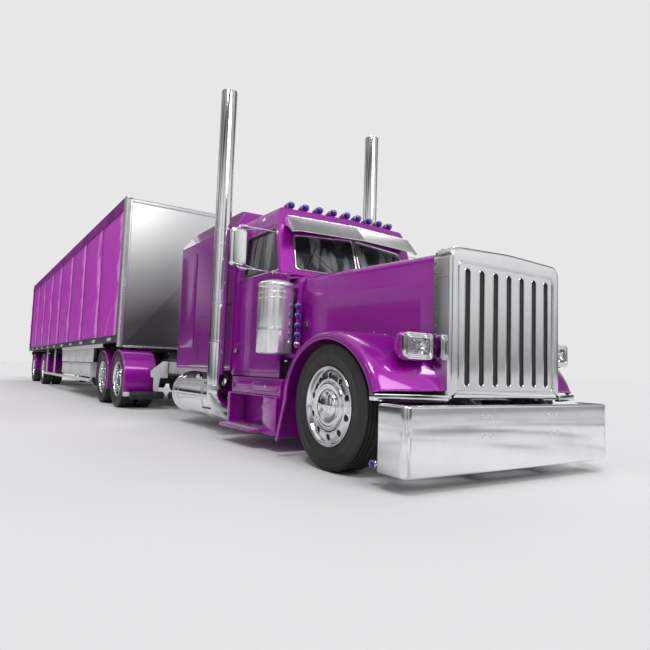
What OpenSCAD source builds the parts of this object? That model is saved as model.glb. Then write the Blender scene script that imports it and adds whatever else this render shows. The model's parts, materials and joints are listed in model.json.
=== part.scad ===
// Articulated lorry: a long-nosed sleeper tractor hinged to a two-axle curtain-sided semi-trailer.
// X points forward and Z up. The drawing frame has X = 0 at the front axle and Z = 0 on the road;
// each piece is then moved so that the origin is under the middle of the whole vehicle.

/* [Tractor] */
// Front axle centre to the bumper's front face
front_overhang = 1050; // [1010:10:1150]
// Front axle centre to the first drive axle
first_drive = 7300; // [7100:50:7800]
// Spacing of the two drive axles
drive_spread = 1350; // [1290:10:1400]
// Rear face of the cab, behind the front axle
cab_rear = 2420; // [2400:10:2480]
// Length of the sleeper
sleeper_l = 2065; // [1700:5:2400]
// Half width of the cab at the doors
cab_half = 980; // [960:5:1000]
// Half width of the sleeper
sleeper_half = 1000; // [980:5:1020]
// Roof height of the cab at its rear edge
cab_top = 2735; // [2680:5:2780]
// Roof height of the sleeper
sleeper_top = 2880; // [2800:5:2960]
// Half width of the hood at the grille
hood_front_half = 680; // [650:5:700]
// Half width of the hood at the cowl
hood_rear_half = 880; // [850:5:900]
// Thickness of the hood's and fenders' moulding
skin_t = 20; // [14:1:26]
// Thickness of the cab, sleeper and door walls
wall_t = 40; // [30:1:50]

/* [Wheels] */
// Tyre radius
tyre_r = 540; // [520:5:545]
// Tyre section width
tyre_w = 280; // [250:5:290]
// Radius of the rim's lip
rim_r = 338; // [330:1:345]
// Half track of the steered wheels
front_track = 1040; // [1020:5:1050]
// Spacing of twin tyres
twin_gap = 342; // [320:1:350]
// Half track of the twin wheels, at the middle of each pair
twin_track = 909; // [895:1:915]
// Number of hand holes in a wheel
hand_holes = 10; // [8:1:10]

/* [Bumper and grille] */
// Bumper's lower edge above the road
bumper_low = 113; // [90:1:160]
// Bumper's upper edge above the road
bumper_high = 615; // [560:5:618]
// Bumper half width
bumper_half = 1230; // [1180:5:1240]
// Grille surround's front face, ahead of the front axle
grille_x = 920; // [900:5:930]
// Height of the grille surround's top
grille_top = 1850; // [1820:5:1880]
// Number of long slots in the grille
grille_slots = 7; // [5:1:9]

/* [Stacks and tanks] */
// Height of the exhaust stacks
stack_top = 4330; // [3900:10:4340]
// Radius of the exhaust stacks
stack_r = 100; // [80:1:100]
// Radius of the fuel tanks
tank_r = 310; // [280:1:312]
// Length of the fuel tanks
tank_l = 1780; // [1400:10:1800]
// Number of roof marker lamps
roof_lamp_count = 9; // [5:2:9]

/* [Trailer] */
// Length of the trailer body
trailer_l = 16180; // [14600:20:16200]
// Half width of the trailer body
trailer_half = 1295; // [1275:5:1300]
// Height of the trailer's roof
trailer_top = 4115; // [3900:5:4120]
// Underside of the coupling plate
coupler_z = 1150; // [1145:1:1170]
// Kingpin to the front wall
kingpin_setback = 900; // [850:10:950]
// Rear axle to the trailer's rear face
trailer_rear_overhang = 1430; // [1300:10:1600]
// Spacing of the trailer's axles
trailer_spread = 3050; // [2800:10:3100]
// Number of curtain bays on a side
curtain_bays = 8; // [6:1:10]

/* [Hidden] */
$fn = 48;
eps = 1;
// Clearance of panels and lids that move
gap = 5;
// Clearance of a seat that does not move
seat_gap = 0.3;
// Radial clearance of a pin in its bore
pin_gap = 0.05;

kingpin_x = -(first_drive + drive_spread / 2 + 25);
trailer_front = kingpin_x + kingpin_setback;
trailer_rear = trailer_front - trailer_l;
rear_door_t = 38;
lock_rod_r = 16;
rear_end = trailer_rear - rear_door_t - 2 * lock_rod_r - seat_gap;
// A whole tenth of a millimetre
axle_x = round(-(front_overhang + rear_end) * 5) / 10;

purple = [0.50, 0.09, 0.50];
dark_purple = [0.24, 0.05, 0.27];
chrome = [0.84, 0.85, 0.87];
grey = [0.55, 0.56, 0.58];
black = [0.07, 0.07, 0.08];
glass = [0.16, 0.18, 0.19];
blue = [0.05, 0.04, 0.55];
pale = [0.80, 0.80, 0.80];

drive_axles_x = [-first_drive, -first_drive - drive_spread];
trailer_axles_x = [trailer_rear + trailer_rear_overhang + trailer_spread,
                   trailer_rear + trailer_rear_overhang];

WHEEL_NODES = [for (set = ["drive", "trailer"], n = ["1", "2"], side = ["right", "left"])
    str(set, "_wheel_", n, "_", side)];

// Helpers: extrusions along each axis, rounded outlines and lofts

module along_x(points, x0, x1) {
    translate([x0, 0, 0]) rotate([90, 0, 90]) linear_extrude(x1 - x0) polygon(points);
}
module along_y(points, y0, y1) {
    translate([0, y1, 0]) rotate([90, 0, 0]) linear_extrude(y1 - y0) polygon(points);
}
module along_z(points, z0, z1) {
    translate([0, 0, z0]) linear_extrude(z1 - z0) polygon(points);
}
module block(low, high) {
    translate(low) cube(high - low);
}
module both_sides() {
    children();
    mirror([0, 1, 0]) children();
}
// side is -1 for the right-hand side, which is drawn first, and 1 for the left
module on_side(side) {
    if (side < 0) children();
    else mirror([0, 1, 0]) children();
}
module rod_y(x, z, y0, y1, r) {
    translate([x, y1, z]) rotate([90, 0, 0]) cylinder(r = r, h = y1 - y0);
}
module rod_x(x0, x1, y, z, r) {
    translate([x0, y, z]) rotate([0, 90, 0]) cylinder(r = r, h = x1 - x0);
}
function unit(v) = v / norm(v);
function corner_arc(a, b, c, r, n) =
    r <= 0 ? [[b.x, b.y]] :
    let (u = unit([a.x - b.x, a.y - b.y]), v = unit([c.x - b.x, c.y - b.y]),
         half = acos(max(-1, min(1, u * v))) / 2,
         centre = [b.x, b.y] + unit(u + v) * r / sin(half),
         p = [b.x, b.y] + u * r / tan(half), q = [b.x, b.y] + v * r / tan(half),
         start = atan2(p.y - centre.y, p.x - centre.x), end = atan2(q.y - centre.y, q.x - centre.x),
         sweep = (end - start + 540) % 360 - 180)
    [for (i = [0:n]) centre + r * [cos(start + sweep * i / n), sin(start + sweep * i / n)]];
// Corners are [x, y, radius]
function rounded(corners, n = 4) = let (m = len(corners))
    [for (i = [0:m - 1]) each corner_arc(corners[(i + m - 1) % m], corners[i], corners[(i + 1) % m],
                                         corners[i][2], n)];
function box_outline(x0, y0, x1, y1, r) = rounded([[x0, y0, r], [x1, y0, r], [x1, y1, r], [x0, y1, r]]);
function mirrored(points) = concat(points, [for (i = [len(points) - 1:-1:0]) [-points[i].x, points[i].y]]);
function ramp(a, b, t) = a + (b - a) * t;

// rings are closed loops of 3-D points, each with the same number of points. A band is a thin ring
// whose second half runs back along the first: its ends are closed in strips, so they may be curved
module loft(rings, band = false) {
    n = len(rings[0]);
    m = len(rings);
    last = (m - 1) * n;
    polyhedron(
        points = [for (ring = rings) each ring],
        faces = concat(
            band ? [for (i = [0:n / 2 - 2]) each [[n - 1 - i, n - 2 - i, i + 1], [n - 1 - i, i + 1, i]]]
                 : [[for (i = [n - 1:-1:0]) i]],
            band ? [for (i = [0:n / 2 - 2]) each [[last + i, last + i + 1, last + n - 2 - i],
                                                  [last + i, last + n - 2 - i, last + n - 1 - i]]]
                 : [[for (i = [0:n - 1]) last + i]],
            [for (j = [0:m - 2], i = [0:n - 1])
                each [[j * n + i, j * n + (i + 1) % n, (j + 1) * n + (i + 1) % n],
                      [j * n + i, (j + 1) * n + (i + 1) % n, (j + 1) * n + i]]]),
        convexity = 6);
}

// Frame and running gear

rail_out = 430;
rail_in = 345;
rail_low = 650;
rail_high = 930;
rail_web = 12;
frame_front = 600;
frame_rear = first_drive + drive_spread + tyre_r + 90;
hood_pivot = [950, 600];
hood_pin_r = 15;
tow_x = 695;
tow_z = 585;
tow_r = 16;
cross_x = [530, -1150, -2300, -3700, -5100, -6300, -7000, -7975, -9000];

module rail() {
    along_x([[-rail_out, rail_low], [-rail_in, rail_low], [-rail_in, rail_low + rail_web],
             [-rail_out + rail_web, rail_low + rail_web], [-rail_out + rail_web, rail_high - rail_web],
             [-rail_in, rail_high - rail_web], [-rail_in, rail_high], [-rail_out, rail_high]],
            -frame_rear, frame_front);
}
module bumper_arm() {
    difference() {
        along_y([[frame_front - 120, 800], [frame_front, 800], [frame_front + 6, 700], [710, 632],
                 [hood_pivot.x - 28, 600], [hood_pivot.x - 20, 622], [hood_pivot.x + 20, 622],
                 [hood_pivot.x + 30, 590], [front_overhang - bumper_t, 590],
                 [front_overhang - bumper_t, 330], [820, 330], [660, 535], [630, rail_low + 2],
                 [frame_front - 120, rail_low + 2]], -rail_out, -rail_out + 45);
        rod_y(tow_x, tow_z, -rail_out - 10, -rail_out + 60, tow_r);
    }
}
module frame() {
    color(black) {
        both_sides() {
            rail();
            bumper_arm();
            rod_y(hood_pivot.x, hood_pivot.y, -rail_out - 32, -rail_out + eps, hood_pin_r);
        }
        for (x = cross_x)
            block([x, -rail_out + rail_web - eps, rail_low + 40], [x + 60, rail_out - rail_web + eps, rail_high - 40]);
        // plates that close the rear of the frame and carry the tail lamps
        block([-frame_rear - 12, -820, rail_low + 30], [-frame_rear + eps, 820, rail_high - 60]);
        // pads under the cab and the sleeper
        for (x = [-1400, -2360, -2700, -4300]) both_sides()
            block([x, -rail_out, rail_high - eps], [x + 120, -rail_in, floor_low - seat_gap]);
        // catwalk between the sleeper and the trailer
        block([-6150, -640, rail_high - eps], [-(cab_rear + 15 + sleeper_l) - 30, 640, rail_high + 14]);
    }
}

kingpin_y = 960;
kingpin_r = 20;
axle_eye_r = 46;
axle_eye_h = 100;
spindle_r = 45;
arm_back = 150;
arm_z = 428;
spring_y = 388;

module leaf_spring() {
    // Two arcs of leaves, flat side down on the axle pad
    spring_r = 2600;
    for (leaf = [[0, 620], [14, 470], [28, 320]])
        translate([0, -spring_y + 38, 0]) rotate([90, 0, 0])
            linear_extrude(76) intersection() {
                translate([0, 512 + spring_r + leaf[0] * 0 - leaf[0] + 28]) difference() {
                    circle(r = spring_r, $fn = 240);
                    circle(r = spring_r - 14, $fn = 240);
                }
                translate([-leaf[1], 480]) square([2 * leaf[1], 160]);
            }
}
module front_axle() {
    color(black) {
        difference() {
            union() {
                along_x([[-kingpin_y, 490], [-kingpin_y + 90, 490], [-650, 430], [650, 430],
                         [kingpin_y - 90, 490], [kingpin_y, 490], [kingpin_y, 590], [kingpin_y - 110, 590],
                         [640, 512], [-640, 512], [-kingpin_y + 110, 590], [-kingpin_y, 590]], -38, 38);
                both_sides() translate([0, -kingpin_y, 490]) cylinder(r = axle_eye_r, h = axle_eye_h);
            }
            both_sides() translate([0, -kingpin_y, 400]) cylinder(r = kingpin_r + pin_gap, h = 300);
        }
        both_sides() {
            leaf_spring();
            // shackles and hangers at the ends of the spring
            for (x = [-600, 560])
                block([x - 30, -spring_y - 30, 560], [x + 30, -spring_y + 30, rail_low]);
        }
    }
}
module knuckle() {
    color(black) {
        translate([0, -kingpin_y, 0]) {
            translate([0, 0, 440]) cylinder(r = kingpin_r, h = 200);
            translate([0, 0, 440]) cylinder(r = 48, h = 50 - seat_gap);
            translate([0, 0, 590 + seat_gap]) cylinder(r = 48, h = 40);
            // plate that joins the ears outboard of the axle's eye
            block([-45, -76, 440], [45, -axle_eye_r - 6, 630]);
            block([-45, -60, 440], [45, -20, 489.7]);
            block([-45, -60, 590.3], [45, -20, 630]);
            // steering arm to the tie rod
            block([-arm_back, -28, arm_z + 28], [-20, 28, 489]);
            translate([-arm_back, 0, arm_z + 28]) cylinder(r = 34, h = 489 - arm_z - 28);
        }
        rod_y(0, tyre_r, -front_track - 100, -kingpin_y - 60, spindle_r);
    }
}
module tie_rod() {
    color(black) {
        rod_y(-arm_back, arm_z, -kingpin_y, kingpin_y, 22);
        both_sides() translate([-arm_back, -kingpin_y, arm_z - 26]) cylinder(r = 40, h = 26 + 28 - seat_gap);
    }
}

twin_spindle_r = 60;
module twin_axle(x, pod_r) {
    rod_y(x, tyre_r, -twin_track + 245, twin_track - 245, 80);
    both_sides() rod_y(x, tyre_r, -twin_track - 150, -twin_track + 250, twin_spindle_r);
    if (pod_r > 0) {
        rod_y(x, tyre_r, -120, 120, pod_r);
        rod_x(x - 60, x + pod_r + 90, 0, tyre_r, 95);
    }
}
module drive_axles() {
    color(black) {
        for (x = drive_axles_x) twin_axle(x, 215);
        both_sides() {
            // equalising beam under both axles, hung from the frame between them
            along_y(rounded([[drive_axles_x[1] - 190, 410, 0], [drive_axles_x[0] + 190, 410, 0],
                             [drive_axles_x[0] + 190, 475, 0], [kingpin_x + 225, 545, 0],
                             [kingpin_x - 175, 545, 0], [drive_axles_x[1] - 190, 475, 0]]), -530, -470);
            block([kingpin_x - 125, -500, 500], [kingpin_x + 175, -rail_out, 800]);
        }
    }
}
module engine() {
    color(grey) {
        block([-800, -300, 560], [380, 300, 1480]);
        for (x = [-520, 140]) block([x, -rail_out + rail_web, 700], [x + 120, rail_out - rail_web, 780]);
    }
}
module radiator() {
    color(black) {
        block([frame_front + 10, -545, 735], [frame_front + 90, 545, 1700]);
        both_sides() block([frame_front - 40, -rail_out, rail_high], [frame_front + 15, -rail_in + 40, rail_high + 60]);
    }
}

// Wheels, drawn with the axis on Z and the outer face up

function tyre_side(s) = [[rim_r - 22.7, s * 106], [rim_r + 8, s * 116], [rim_r + 50, s * 132], [rim_r + 95, s * tyre_w / 2],
    [tyre_r - 55, s * (tyre_w / 2 - 1)], [tyre_r - 22, s * (tyre_w / 2 - 12)], [tyre_r - 6, s * (tyre_w / 2 - 26)],
    [tyre_r, s * (tyre_w / 2 - 44)]];
function tyre_cavity_side(s) = [[rim_r - 22.7, s * 70], [rim_r + 20, s * 96], [rim_r + 95, s * (tyre_w / 2 - 26)],
    [tyre_r - 60, s * (tyre_w / 2 - 30)], [tyre_r - 30, s * (tyre_w / 2 - 60)]];
function reversed(list) = [for (i = [len(list) - 1:-1:0]) list[i]];
module tyre() {
    color(black) rotate_extrude($fn = 72)
        polygon(concat(tyre_side(-1), reversed(tyre_side(1)), tyre_cavity_side(1), reversed(tyre_cavity_side(-1))));
}
module hand_hole_cut(r, z0, z1) {
    for (i = [0:hand_holes - 1]) rotate(360 / hand_holes * (i + 0.5))
        translate([r, 0, z0]) cylinder(r = 31, h = z1 - z0, $fn = 24);
}
bed_r = rim_r - 23;
module front_rim() {
    color(chrome) difference() {
        rotate_extrude($fn = 72) polygon([
            [spindle_r + pin_gap, 8], [spindle_r + pin_gap, 112], [0, 112], [0, 186], [60, 182],
            [104, 168], [130, 146], [138, 124], [190, 124], [199, 116], [205, 104], [288, 104], [bed_r - 6, 116],
            [rim_r - 10, 132], [rim_r, 128], [rim_r, 119], [bed_r, 108], [bed_r, -110], [rim_r, -120],
            [rim_r, -130], [rim_r - 14, -132], [bed_r - 14, -116], [bed_r - 14, 60], [286, 88], [190, 92],
            [110, 80], [110, 8]]);
        hand_hole_cut(260, 60, 140);
    }
}
module twin_rim() {
    t = twin_gap / 2;
    color(chrome) difference() {
        rotate_extrude($fn = 72) polygon([
            [twin_spindle_r + pin_gap, -t - 30], [twin_spindle_r + pin_gap, 165], [0, 165], [0, 232], [60, 228],
            [104, 212], [118, 190], [124, 60], [165, 50], [172, 16], [225, 16], [250, 24], [bed_r - 18, 90],
            [bed_r - 12, t + 112], [rim_r - 12, t + 131], [rim_r, t + 127], [rim_r, t + 118], [bed_r, t + 107],
            [bed_r, t - 108], [rim_r, t - 118], [rim_r, t - 128], [rim_r - 12, t - 132], [bed_r - 12, 24],
            [bed_r - 12, -24], [rim_r - 12, -t + 132], [rim_r, -t + 128], [rim_r, -t + 118], [bed_r, -t + 108],
            [bed_r, -t - 107], [rim_r, -t - 118], [rim_r, -t - 127], [rim_r - 12, -t - 131], [bed_r - 12, -t - 112],
            [bed_r - 18, -90], [250, -24], [225, -16], [130, -16], [120, -t - 30]]);
        hand_hole_cut(275, -90, 90);
    }
}
module wheel_place(x, track, side) {
    on_side(side) translate([x, -track, tyre_r]) rotate([90, 0, 0]) children();
}
module twin_wheel(x, side) {
    wheel_place(x, twin_track, side) {
        twin_rim();
        for (s = [-1, 1]) translate([0, 0, s * twin_gap / 2]) tyre();
    }
}

// Bumper, hood, fenders and grille

bumper_t = 12;
bumper_back = 295;
module bumper() {
    x1 = front_overhang;
    color(chrome) difference() {
        along_z(rounded([[x1 - bumper_back, -bumper_half, 0], [x1, -bumper_half, 45], [x1, bumper_half, 45],
                         [x1 - bumper_back, bumper_half, 0]]), bumper_low, bumper_high);
        along_z(rounded([[x1 - bumper_back - eps, -bumper_half + bumper_t, 0], [x1 - bumper_t, -bumper_half + bumper_t, 33],
                         [x1 - bumper_t, bumper_half - bumper_t, 33], [x1 - bumper_back - eps, bumper_half - bumper_t, 0]]),
                bumper_low - eps, bumper_high - bumper_t);
        // the top flange ends clear of the hood's hinge ears
        along_z([[x1 - bumper_back - eps, -bumper_half + bumper_t], [x1 - 58, -bumper_half + bumper_t],
                 [x1 - 58, bumper_half - bumper_t], [x1 - bumper_back - eps, bumper_half - bumper_t]],
                bumper_high - 2 * bumper_t, bumper_high + eps);
    }
}

hood_rear_x = -950;
hood_front_x = 735;
hood_low = 1112;
cheek_x = 600;
cheek_low = 740;
// Hood half width at x; it is straight from the cowl to the grille
function hood_half(x) = ramp(hood_rear_half, hood_front_half, (x - hood_rear_x) / (hood_front_x - hood_rear_x));
// Right half of the hood's section: the side, its crease, the shoulder and the crown
function hood_ring(x, low, t, half, crease = 1580, shoulder = 1800, crown = 1856) =
    let (right = rounded([[-half + t, low, 0], [-half + t, crease, 0], [-half + t + 28, shoulder - t, 95],
                          [-half * 0.4, (shoulder + crown) / 2 + 12 - t, 0], [0, crown - t, 0]], 5),
         cut = [for (p = right) if (p.x < 0) p])
    [for (p = concat(cut, [[0, crown - t]], [for (i = [len(cut) - 1:-1:0]) [-cut[i].x, cut[i].y]])) [x, p.x, p.y]];
module hood_shell(x0, x1, low, t, grow) {
    difference() {
        loft([for (x = [x0, x1]) hood_ring(x, low, 0, hood_half(x))]);
        loft([for (x = [x0 - grow, x1 + eps]) hood_ring(x, low - 50, t, hood_half(x))]);
    }
}
module hood() {
    color(purple) {
        hood_shell(hood_rear_x, cheek_x, hood_low, skin_t, eps);
        hood_shell(cheek_x, hood_front_x, cheek_low, skin_t, eps);
    }
}

fender_out = 1222;
lip_drop = 84;
fender_start = 15.5;
// Fender line seen from the side, from the front edge over the wheel to the tail: [x, z]
function fender_line(u, rx) =
    u < 0.75 ? let (a = ramp(fender_start, 178, u / 0.75), front = a < 90)
        [(front ? rx : 715) * cos(a), tyre_r + (front ? ramp(648, 640, abs(cos(a))) : 648) * sin(a)]
    : let (s = (u - 0.75) / 0.25) [-714 - 128 * s, tyre_r + 22 - 378 * s];
// Direction from the line towards the wheel
function fender_normal(u, rx) = let (p = fender_line(max(0, u - 0.01), rx), q = fender_line(min(1, u + 0.01), rx),
                                     d = unit(q - p)) [-d.y, d.x];
// The section runs from the hood out over the tyre and turns down in a lip, then back inside:
// [share of the width, share of the lip's drop, skin thicknesses inwards, skin thicknesses down]
fender_section = [[0, 0, 0, 0], [0.5, 0.03, 0, 0], [0.82, 0.10, 0, 0], [0.95, 0.30, 0, 0], [1, 0.62, 0, 0],
                  [1, 1, 0, 0], [1, 1, 1, 0], [1, 0.62, 1, 0.2], [0.95, 0.30, 0.8, 0.6], [0.82, 0.10, 0.2, 1],
                  [0.5, 0.03, 0, 1], [0, 0, 0, 1]];
fender_steps = 22;
// The fender's inner edge follows the hood's side, then clears the wider grille surround
surround_proud = 8;
function fender_side(x) = -hood_half(max(-650, min(hood_front_x, x))) - seat_gap
    - surround_proud * max(0, min(1, (x - hood_front_x + 135) / 100));
function fender_ring(u) =
    [for (s = fender_section)
        let (y1 = ramp(fender_side(fender_line(u, 760).x), -fender_out, s[0]),
             // the front edge sweeps forward towards the grille
             rx = ramp(870, 745, (abs(y1) - 690) / (fender_out - 690)),
             p = fender_line(u, rx) + fender_normal(u, rx) * (s[1] * lip_drop + s[3] * skin_t))
        [p.x, ramp(fender_side(p.x), -fender_out, s[0]) + s[2] * skin_t, p.y]];
module fender() {
    loft([for (i = [0:fender_steps]) fender_ring(i / fender_steps)], band = true);
}
module front_fenders() {
    color(purple) both_sides() fender();
}

shell_back = hood_front_x + seat_gap;
shell_low = 642;
opening_half = 596;
opening_low = 716;
opening_high = 1712;
strip_low = 668;
strip_high = 736;
module grille_surround() {
    half = hood_front_half + surround_proud;
    color(chrome) {
        difference() {
            along_x(rounded([[-half, shell_low, 0], [-half, grille_top - 18, 95], [0, grille_top + 8, 0],
                             [half, grille_top - 18, 95], [half, shell_low, 0]], 6), shell_back, grille_x);
            along_x(box_outline(-opening_half, opening_low, opening_half, opening_high, 36),
                    shell_back - eps, grille_x + eps);
            along_x(box_outline(-half + skin_t, opening_low - 40, half - skin_t, opening_high + 70, 40),
                    shell_back - eps, grille_x - 24);
        }
        // flat bead round the opening
        difference() {
            along_x(box_outline(-opening_half - 14, opening_low - 14, opening_half + 14, opening_high + 14, 46),
                    grille_x - eps, grille_x + 9);
            along_x(box_outline(-opening_half, opening_low, opening_half, opening_high, 36),
                    grille_x - 2 * eps, grille_x + 9 + eps);
        }
        both_sides() {
            // bright strip along the fender's lower front edge
            along_z([[grille_x - 4, -half + eps], [grille_x - 4, -half - 20], [705, -fender_out - 12],
                     [640, -fender_out - 12], [640, -fender_out + 8], [690, -fender_out + 20],
                     [grille_x - 44, -half - 20], [grille_x - 44, -half + eps]], strip_low - 40, strip_low + 12);
            // hinge ear on the hood's pivot
            difference() {
                union() {
                    rod_y(hood_pivot.x, hood_pivot.y, -rail_out - 28, -rail_out - 8, 30);
                    along_y([[hood_pivot.x - 60, shell_low + 12], [hood_pivot.x - 60, hood_pivot.y + 4],
                             [hood_pivot.x - 18, hood_pivot.y + 4], [hood_pivot.x - 18, shell_low - 14],
                             [grille_x - 4, shell_low + 12]], -rail_out - 28, -rail_out - 8);
                }
                rod_y(hood_pivot.x, hood_pivot.y, -rail_out - 40, -rail_out + 4, hood_pin_r + pin_gap);
            }
        }
    }
}
slot_pitch = 165;
slot_w = 46;
module grille() {
    y0 = -slot_pitch * (grille_slots - 1) / 2;
    color(pale) difference() {
        along_x(box_outline(-opening_half + seat_gap, opening_low + seat_gap, opening_half - seat_gap,
                            opening_high - seat_gap, 36), grille_x - 22, grille_x - 8);
        for (i = [0:grille_slots - 1])
            along_x(box_outline(y0 + slot_pitch * i - slot_w / 2, opening_low + 28,
                                y0 + slot_pitch * i + slot_w / 2, opening_high - 30, 22),
                    grille_x - 40, grille_x);
    }
}

lamp_y = -872;
lamp_x = 790;
lamp_low = 942;
lamp_high = 1150;
lamp_half = 140;
module headlamps() {
    color(chrome) both_sides() {
        along_x(box_outline(lamp_y - lamp_half, lamp_low, lamp_y + lamp_half, lamp_high, 34), lamp_x - 70, lamp_x);
        along_x(box_outline(lamp_y - lamp_half + 34, lamp_low + 30, lamp_y + lamp_half - 34, lamp_high - 30, 26),
                lamp_x - eps, lamp_x + 14);
        // tapered housing behind the bezel, and the post that stands on the hood's side
        hull() {
            along_x(box_outline(lamp_y - lamp_half + 10, lamp_low + 8, lamp_y + lamp_half - 10, lamp_high - 8, 30),
                    lamp_x - 74, lamp_x - 69);
            translate([lamp_x - 300, lamp_y + 60, (lamp_low + lamp_high) / 2 + 70]) sphere(r = 26, $fn = 20);
        }
        block([lamp_x - 130, -hood_half(lamp_x - 130) - seat_gap - 70, 1030],
              [lamp_x - 80, -hood_half(lamp_x - 130) - seat_gap, 1080]);
    }
}

// Cab, doors and sleeper

cab_low = 745;
floor_low = 950;
floor_high = 990;
cowl_half = cab_half - 50;
cowl_x = -960;
screen_x = -1150;
screen_z = 1852;
screen_tilt = 18;
screen_vee = 6;
roof_front = 2665;
roof_edge_x = -1400;
// Reach of the tools that cut through the whole cab or sleeper
cut_half = max(cab_half, sleeper_half) + 200;
cab_front = -1210;
ledge_low = screen_z - 92;

// Section of the cab across the doors, drawn in by t
function cab_section(t) = rounded([[-cab_half + t, cab_low - 100, 0], [-cab_half + t, 1900, 0],
    [-cab_half + 60 + t, cab_top - 60 - t, 150], [0, cab_top + 40 - t, 0],
    [cab_half - 60 - t, cab_top - 60 - t, 150], [cab_half - t, 1900, 0], [cab_half - t, cab_low - 100, 0]], 6);
// Side view of the upper cab with the roof rising to the rear
function cab_profile(t) = rounded([[screen_x + 40, screen_z - 100, 0], [screen_x + 40, roof_z(screen_x + 40) - t, 0],
    [-cab_rear + t, cab_top - t, 70],
    [-cab_rear + t, screen_z - 100, 0]], 6);
// Places children with local X out of a windscreen pane and local Z up along it
module pane_place(side) {
    translate([screen_x, 0, screen_z]) rotate([0, 0, side * screen_vee]) rotate([0, -screen_tilt, 0]) children();
}
module cab_block(t) {
    difference() {
        union() {
            along_x(cab_section(t), -cab_rear + t, cab_front);
            intersection() {
                along_x(cab_section(t), -cab_rear + t, screen_x + 30);
                block([-3000, -cut_half, ledge_low], [0, cut_half, 3000]);
            }
        }
        // roof line
        difference() {
            block([-cab_rear - 100, -cut_half, screen_z - 95], [screen_x + 60, cut_half, 3200]);
            along_y(cab_profile(t), -cut_half - 100, cut_half + 100);
        }
        // windscreen planes
        for (side = [-1, 1]) intersection() {
            pane_place(side) block([-t, side < 0 ? -1400 : -300, -300], [900, side < 0 ? 300 : 1400, 1400]);
            block([-2200, side < 0 ? -1400 : 0, screen_z], [200, side < 0 ? 0 : 1400, 3200]);
        }
    }
    // cowl ahead of the doors
    loft([for (x = [-1300, cowl_x - (t > 0 ? 50 : 0)]) hood_ring(x, cab_low - 100, t, cowl_half)]);
}
door_front = -1250;
door_back = -2360;
door_outline = [[door_front, 790, 20], [door_front, 1800, 0], [door_front - 35, 1850, 0], [door_front - 225, 2440, 30], [door_back, 2440, 50],
                [door_back, 790, 40]];
roof_rise = (cab_top - roof_front + 20) / (cab_rear + roof_edge_x);
function roof_z(x) = roof_front - 20 + roof_rise * (roof_edge_x - x);
function grown(corners, d) = [for (c = corners) [c.x + (c.x < -1800 ? -d : d), c.y + (c.y > 1860 ? d : c.y < 1000 ? -d : 0), c[2]]];
window_outline = [[-1358, 1932, 30], [-1507, 2388, 30], [-2190, 2388, 40], [-2190, 1932, 40]];

// The glass area of one pane, in the pane's own plane
pane_half = 800;
function pane_outline(side, d) = let (a = side * (35 - d), b = side * (pane_half + d))
    rounded([[a, 56 - d, 26], [b, 84 - d, 40], [side * (pane_half - 18 + d), 505 + d, 40], [a, 545 + d, 26]]);
module pane(side, d, x0, x1) {
    pane_place(side) along_x(pane_outline(side, d), x0, x1);
}

hinge_x = door_front;
hinge_y = -cab_half - 20;
hinge_r = 12;
hinge_z = [1000, 1700];
module cab() {
    color(purple) {
        difference() {
            cab_block(0);
            difference() {
                cab_block(wall_t);
                block([-3000, -cut_half, 0], [0, cut_half, floor_high]);
            }
            // under the floor, round the frame
            block([-3000, -cab_half + wall_t, 0], [0, cab_half - wall_t, floor_low]);
            block([-3000, -cut_half, 0], [0, cut_half, cab_low]);
            for (side = [-1, 1]) {
                on_side(side) along_y(rounded(grown(door_outline, 0)), -cut_half, -cab_half + 150);
                pane(side, 0, -200, 200);
            }
            // way through to the sleeper
            along_x(box_outline(-430, floor_high + 40, 430, 2250, 80), -cab_rear - 50, -cab_rear + 100);
        }
        both_sides() for (z = hinge_z) {
            translate([hinge_x, hinge_y, z - 80]) cylinder(r = hinge_r, h = 80 - seat_gap, $fn = 24);
            block([hinge_x, hinge_y, z - 80], [hinge_x + 30, -cab_half + eps, z - seat_gap]);
        }
    }
}
module windscreen() {
    color(glass) for (side = [-1, 1]) pane(side, -seat_gap, -26, -18);
}
module door(side) {
    color(purple) on_side(side) difference() {
        union() {
            difference() {
                intersection() {
                    cab_block(0);
                    along_y(rounded(grown(door_outline, -gap)), -cut_half, -cab_half + 150);
                }
                cab_block(wall_t);
            }
            for (z = hinge_z) {
                translate([hinge_x, hinge_y, z]) cylinder(r = hinge_r, h = 80, $fn = 24);
                block([hinge_x - 66, hinge_y, z], [hinge_x, hinge_y + 8, z + 80]);
                block([hinge_x - 66, hinge_y, z], [hinge_x - 14, -cab_half + eps, z + 80]);
            }
            // latch housing near the rear edge
            block([door_back + 35, -cab_half - 22, 1010], [door_back + 110, -cab_half + eps, 1068]);
        }
        along_y(rounded(window_outline), -cut_half, 0);
        // pressed panel outline in the lower door
        difference() {
            along_y(box_outline(-2260, 1090, -1390, 1880, 60), -cab_half - 40, -cab_half + 5);
            along_y(box_outline(-2252, 1098, -1398, 1872, 54), -cab_half - 50, -cab_half + 6);
        }
    }
}
module door_glass(side) {
    color(glass) on_side(side) intersection() {
        difference() {
            cab_block(16);
            cab_block(24);
        }
        along_y(rounded([for (c = window_outline) [c.x + (c.x < -1800 ? 0.3 : -0.3), c.y + (c.y > 2000 ? -0.3 : 0.3), c[2]]]),
                -cut_half, -cab_half + 280);
    }
}
mirror_x = -1440;
mirror_y = -cab_half - 420;
module door_mirror(side) {
    color(chrome) on_side(side) {
        // head, face to the rear
        translate([mirror_x, mirror_y, 0]) {
            along_x(box_outline(-95, 1905, 95, 2315, 40), -30, 30);
            translate([0, 0, 1882]) cylinder(r = 9, h = 460, $fn = 24);
        }
        rod_y(mirror_x, 2342, mirror_y - 9, -cab_half + 33, 9);
        rod_y(mirror_x, 1890, mirror_y - 9, -cab_half - seat_gap, 9);
    }
}

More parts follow.
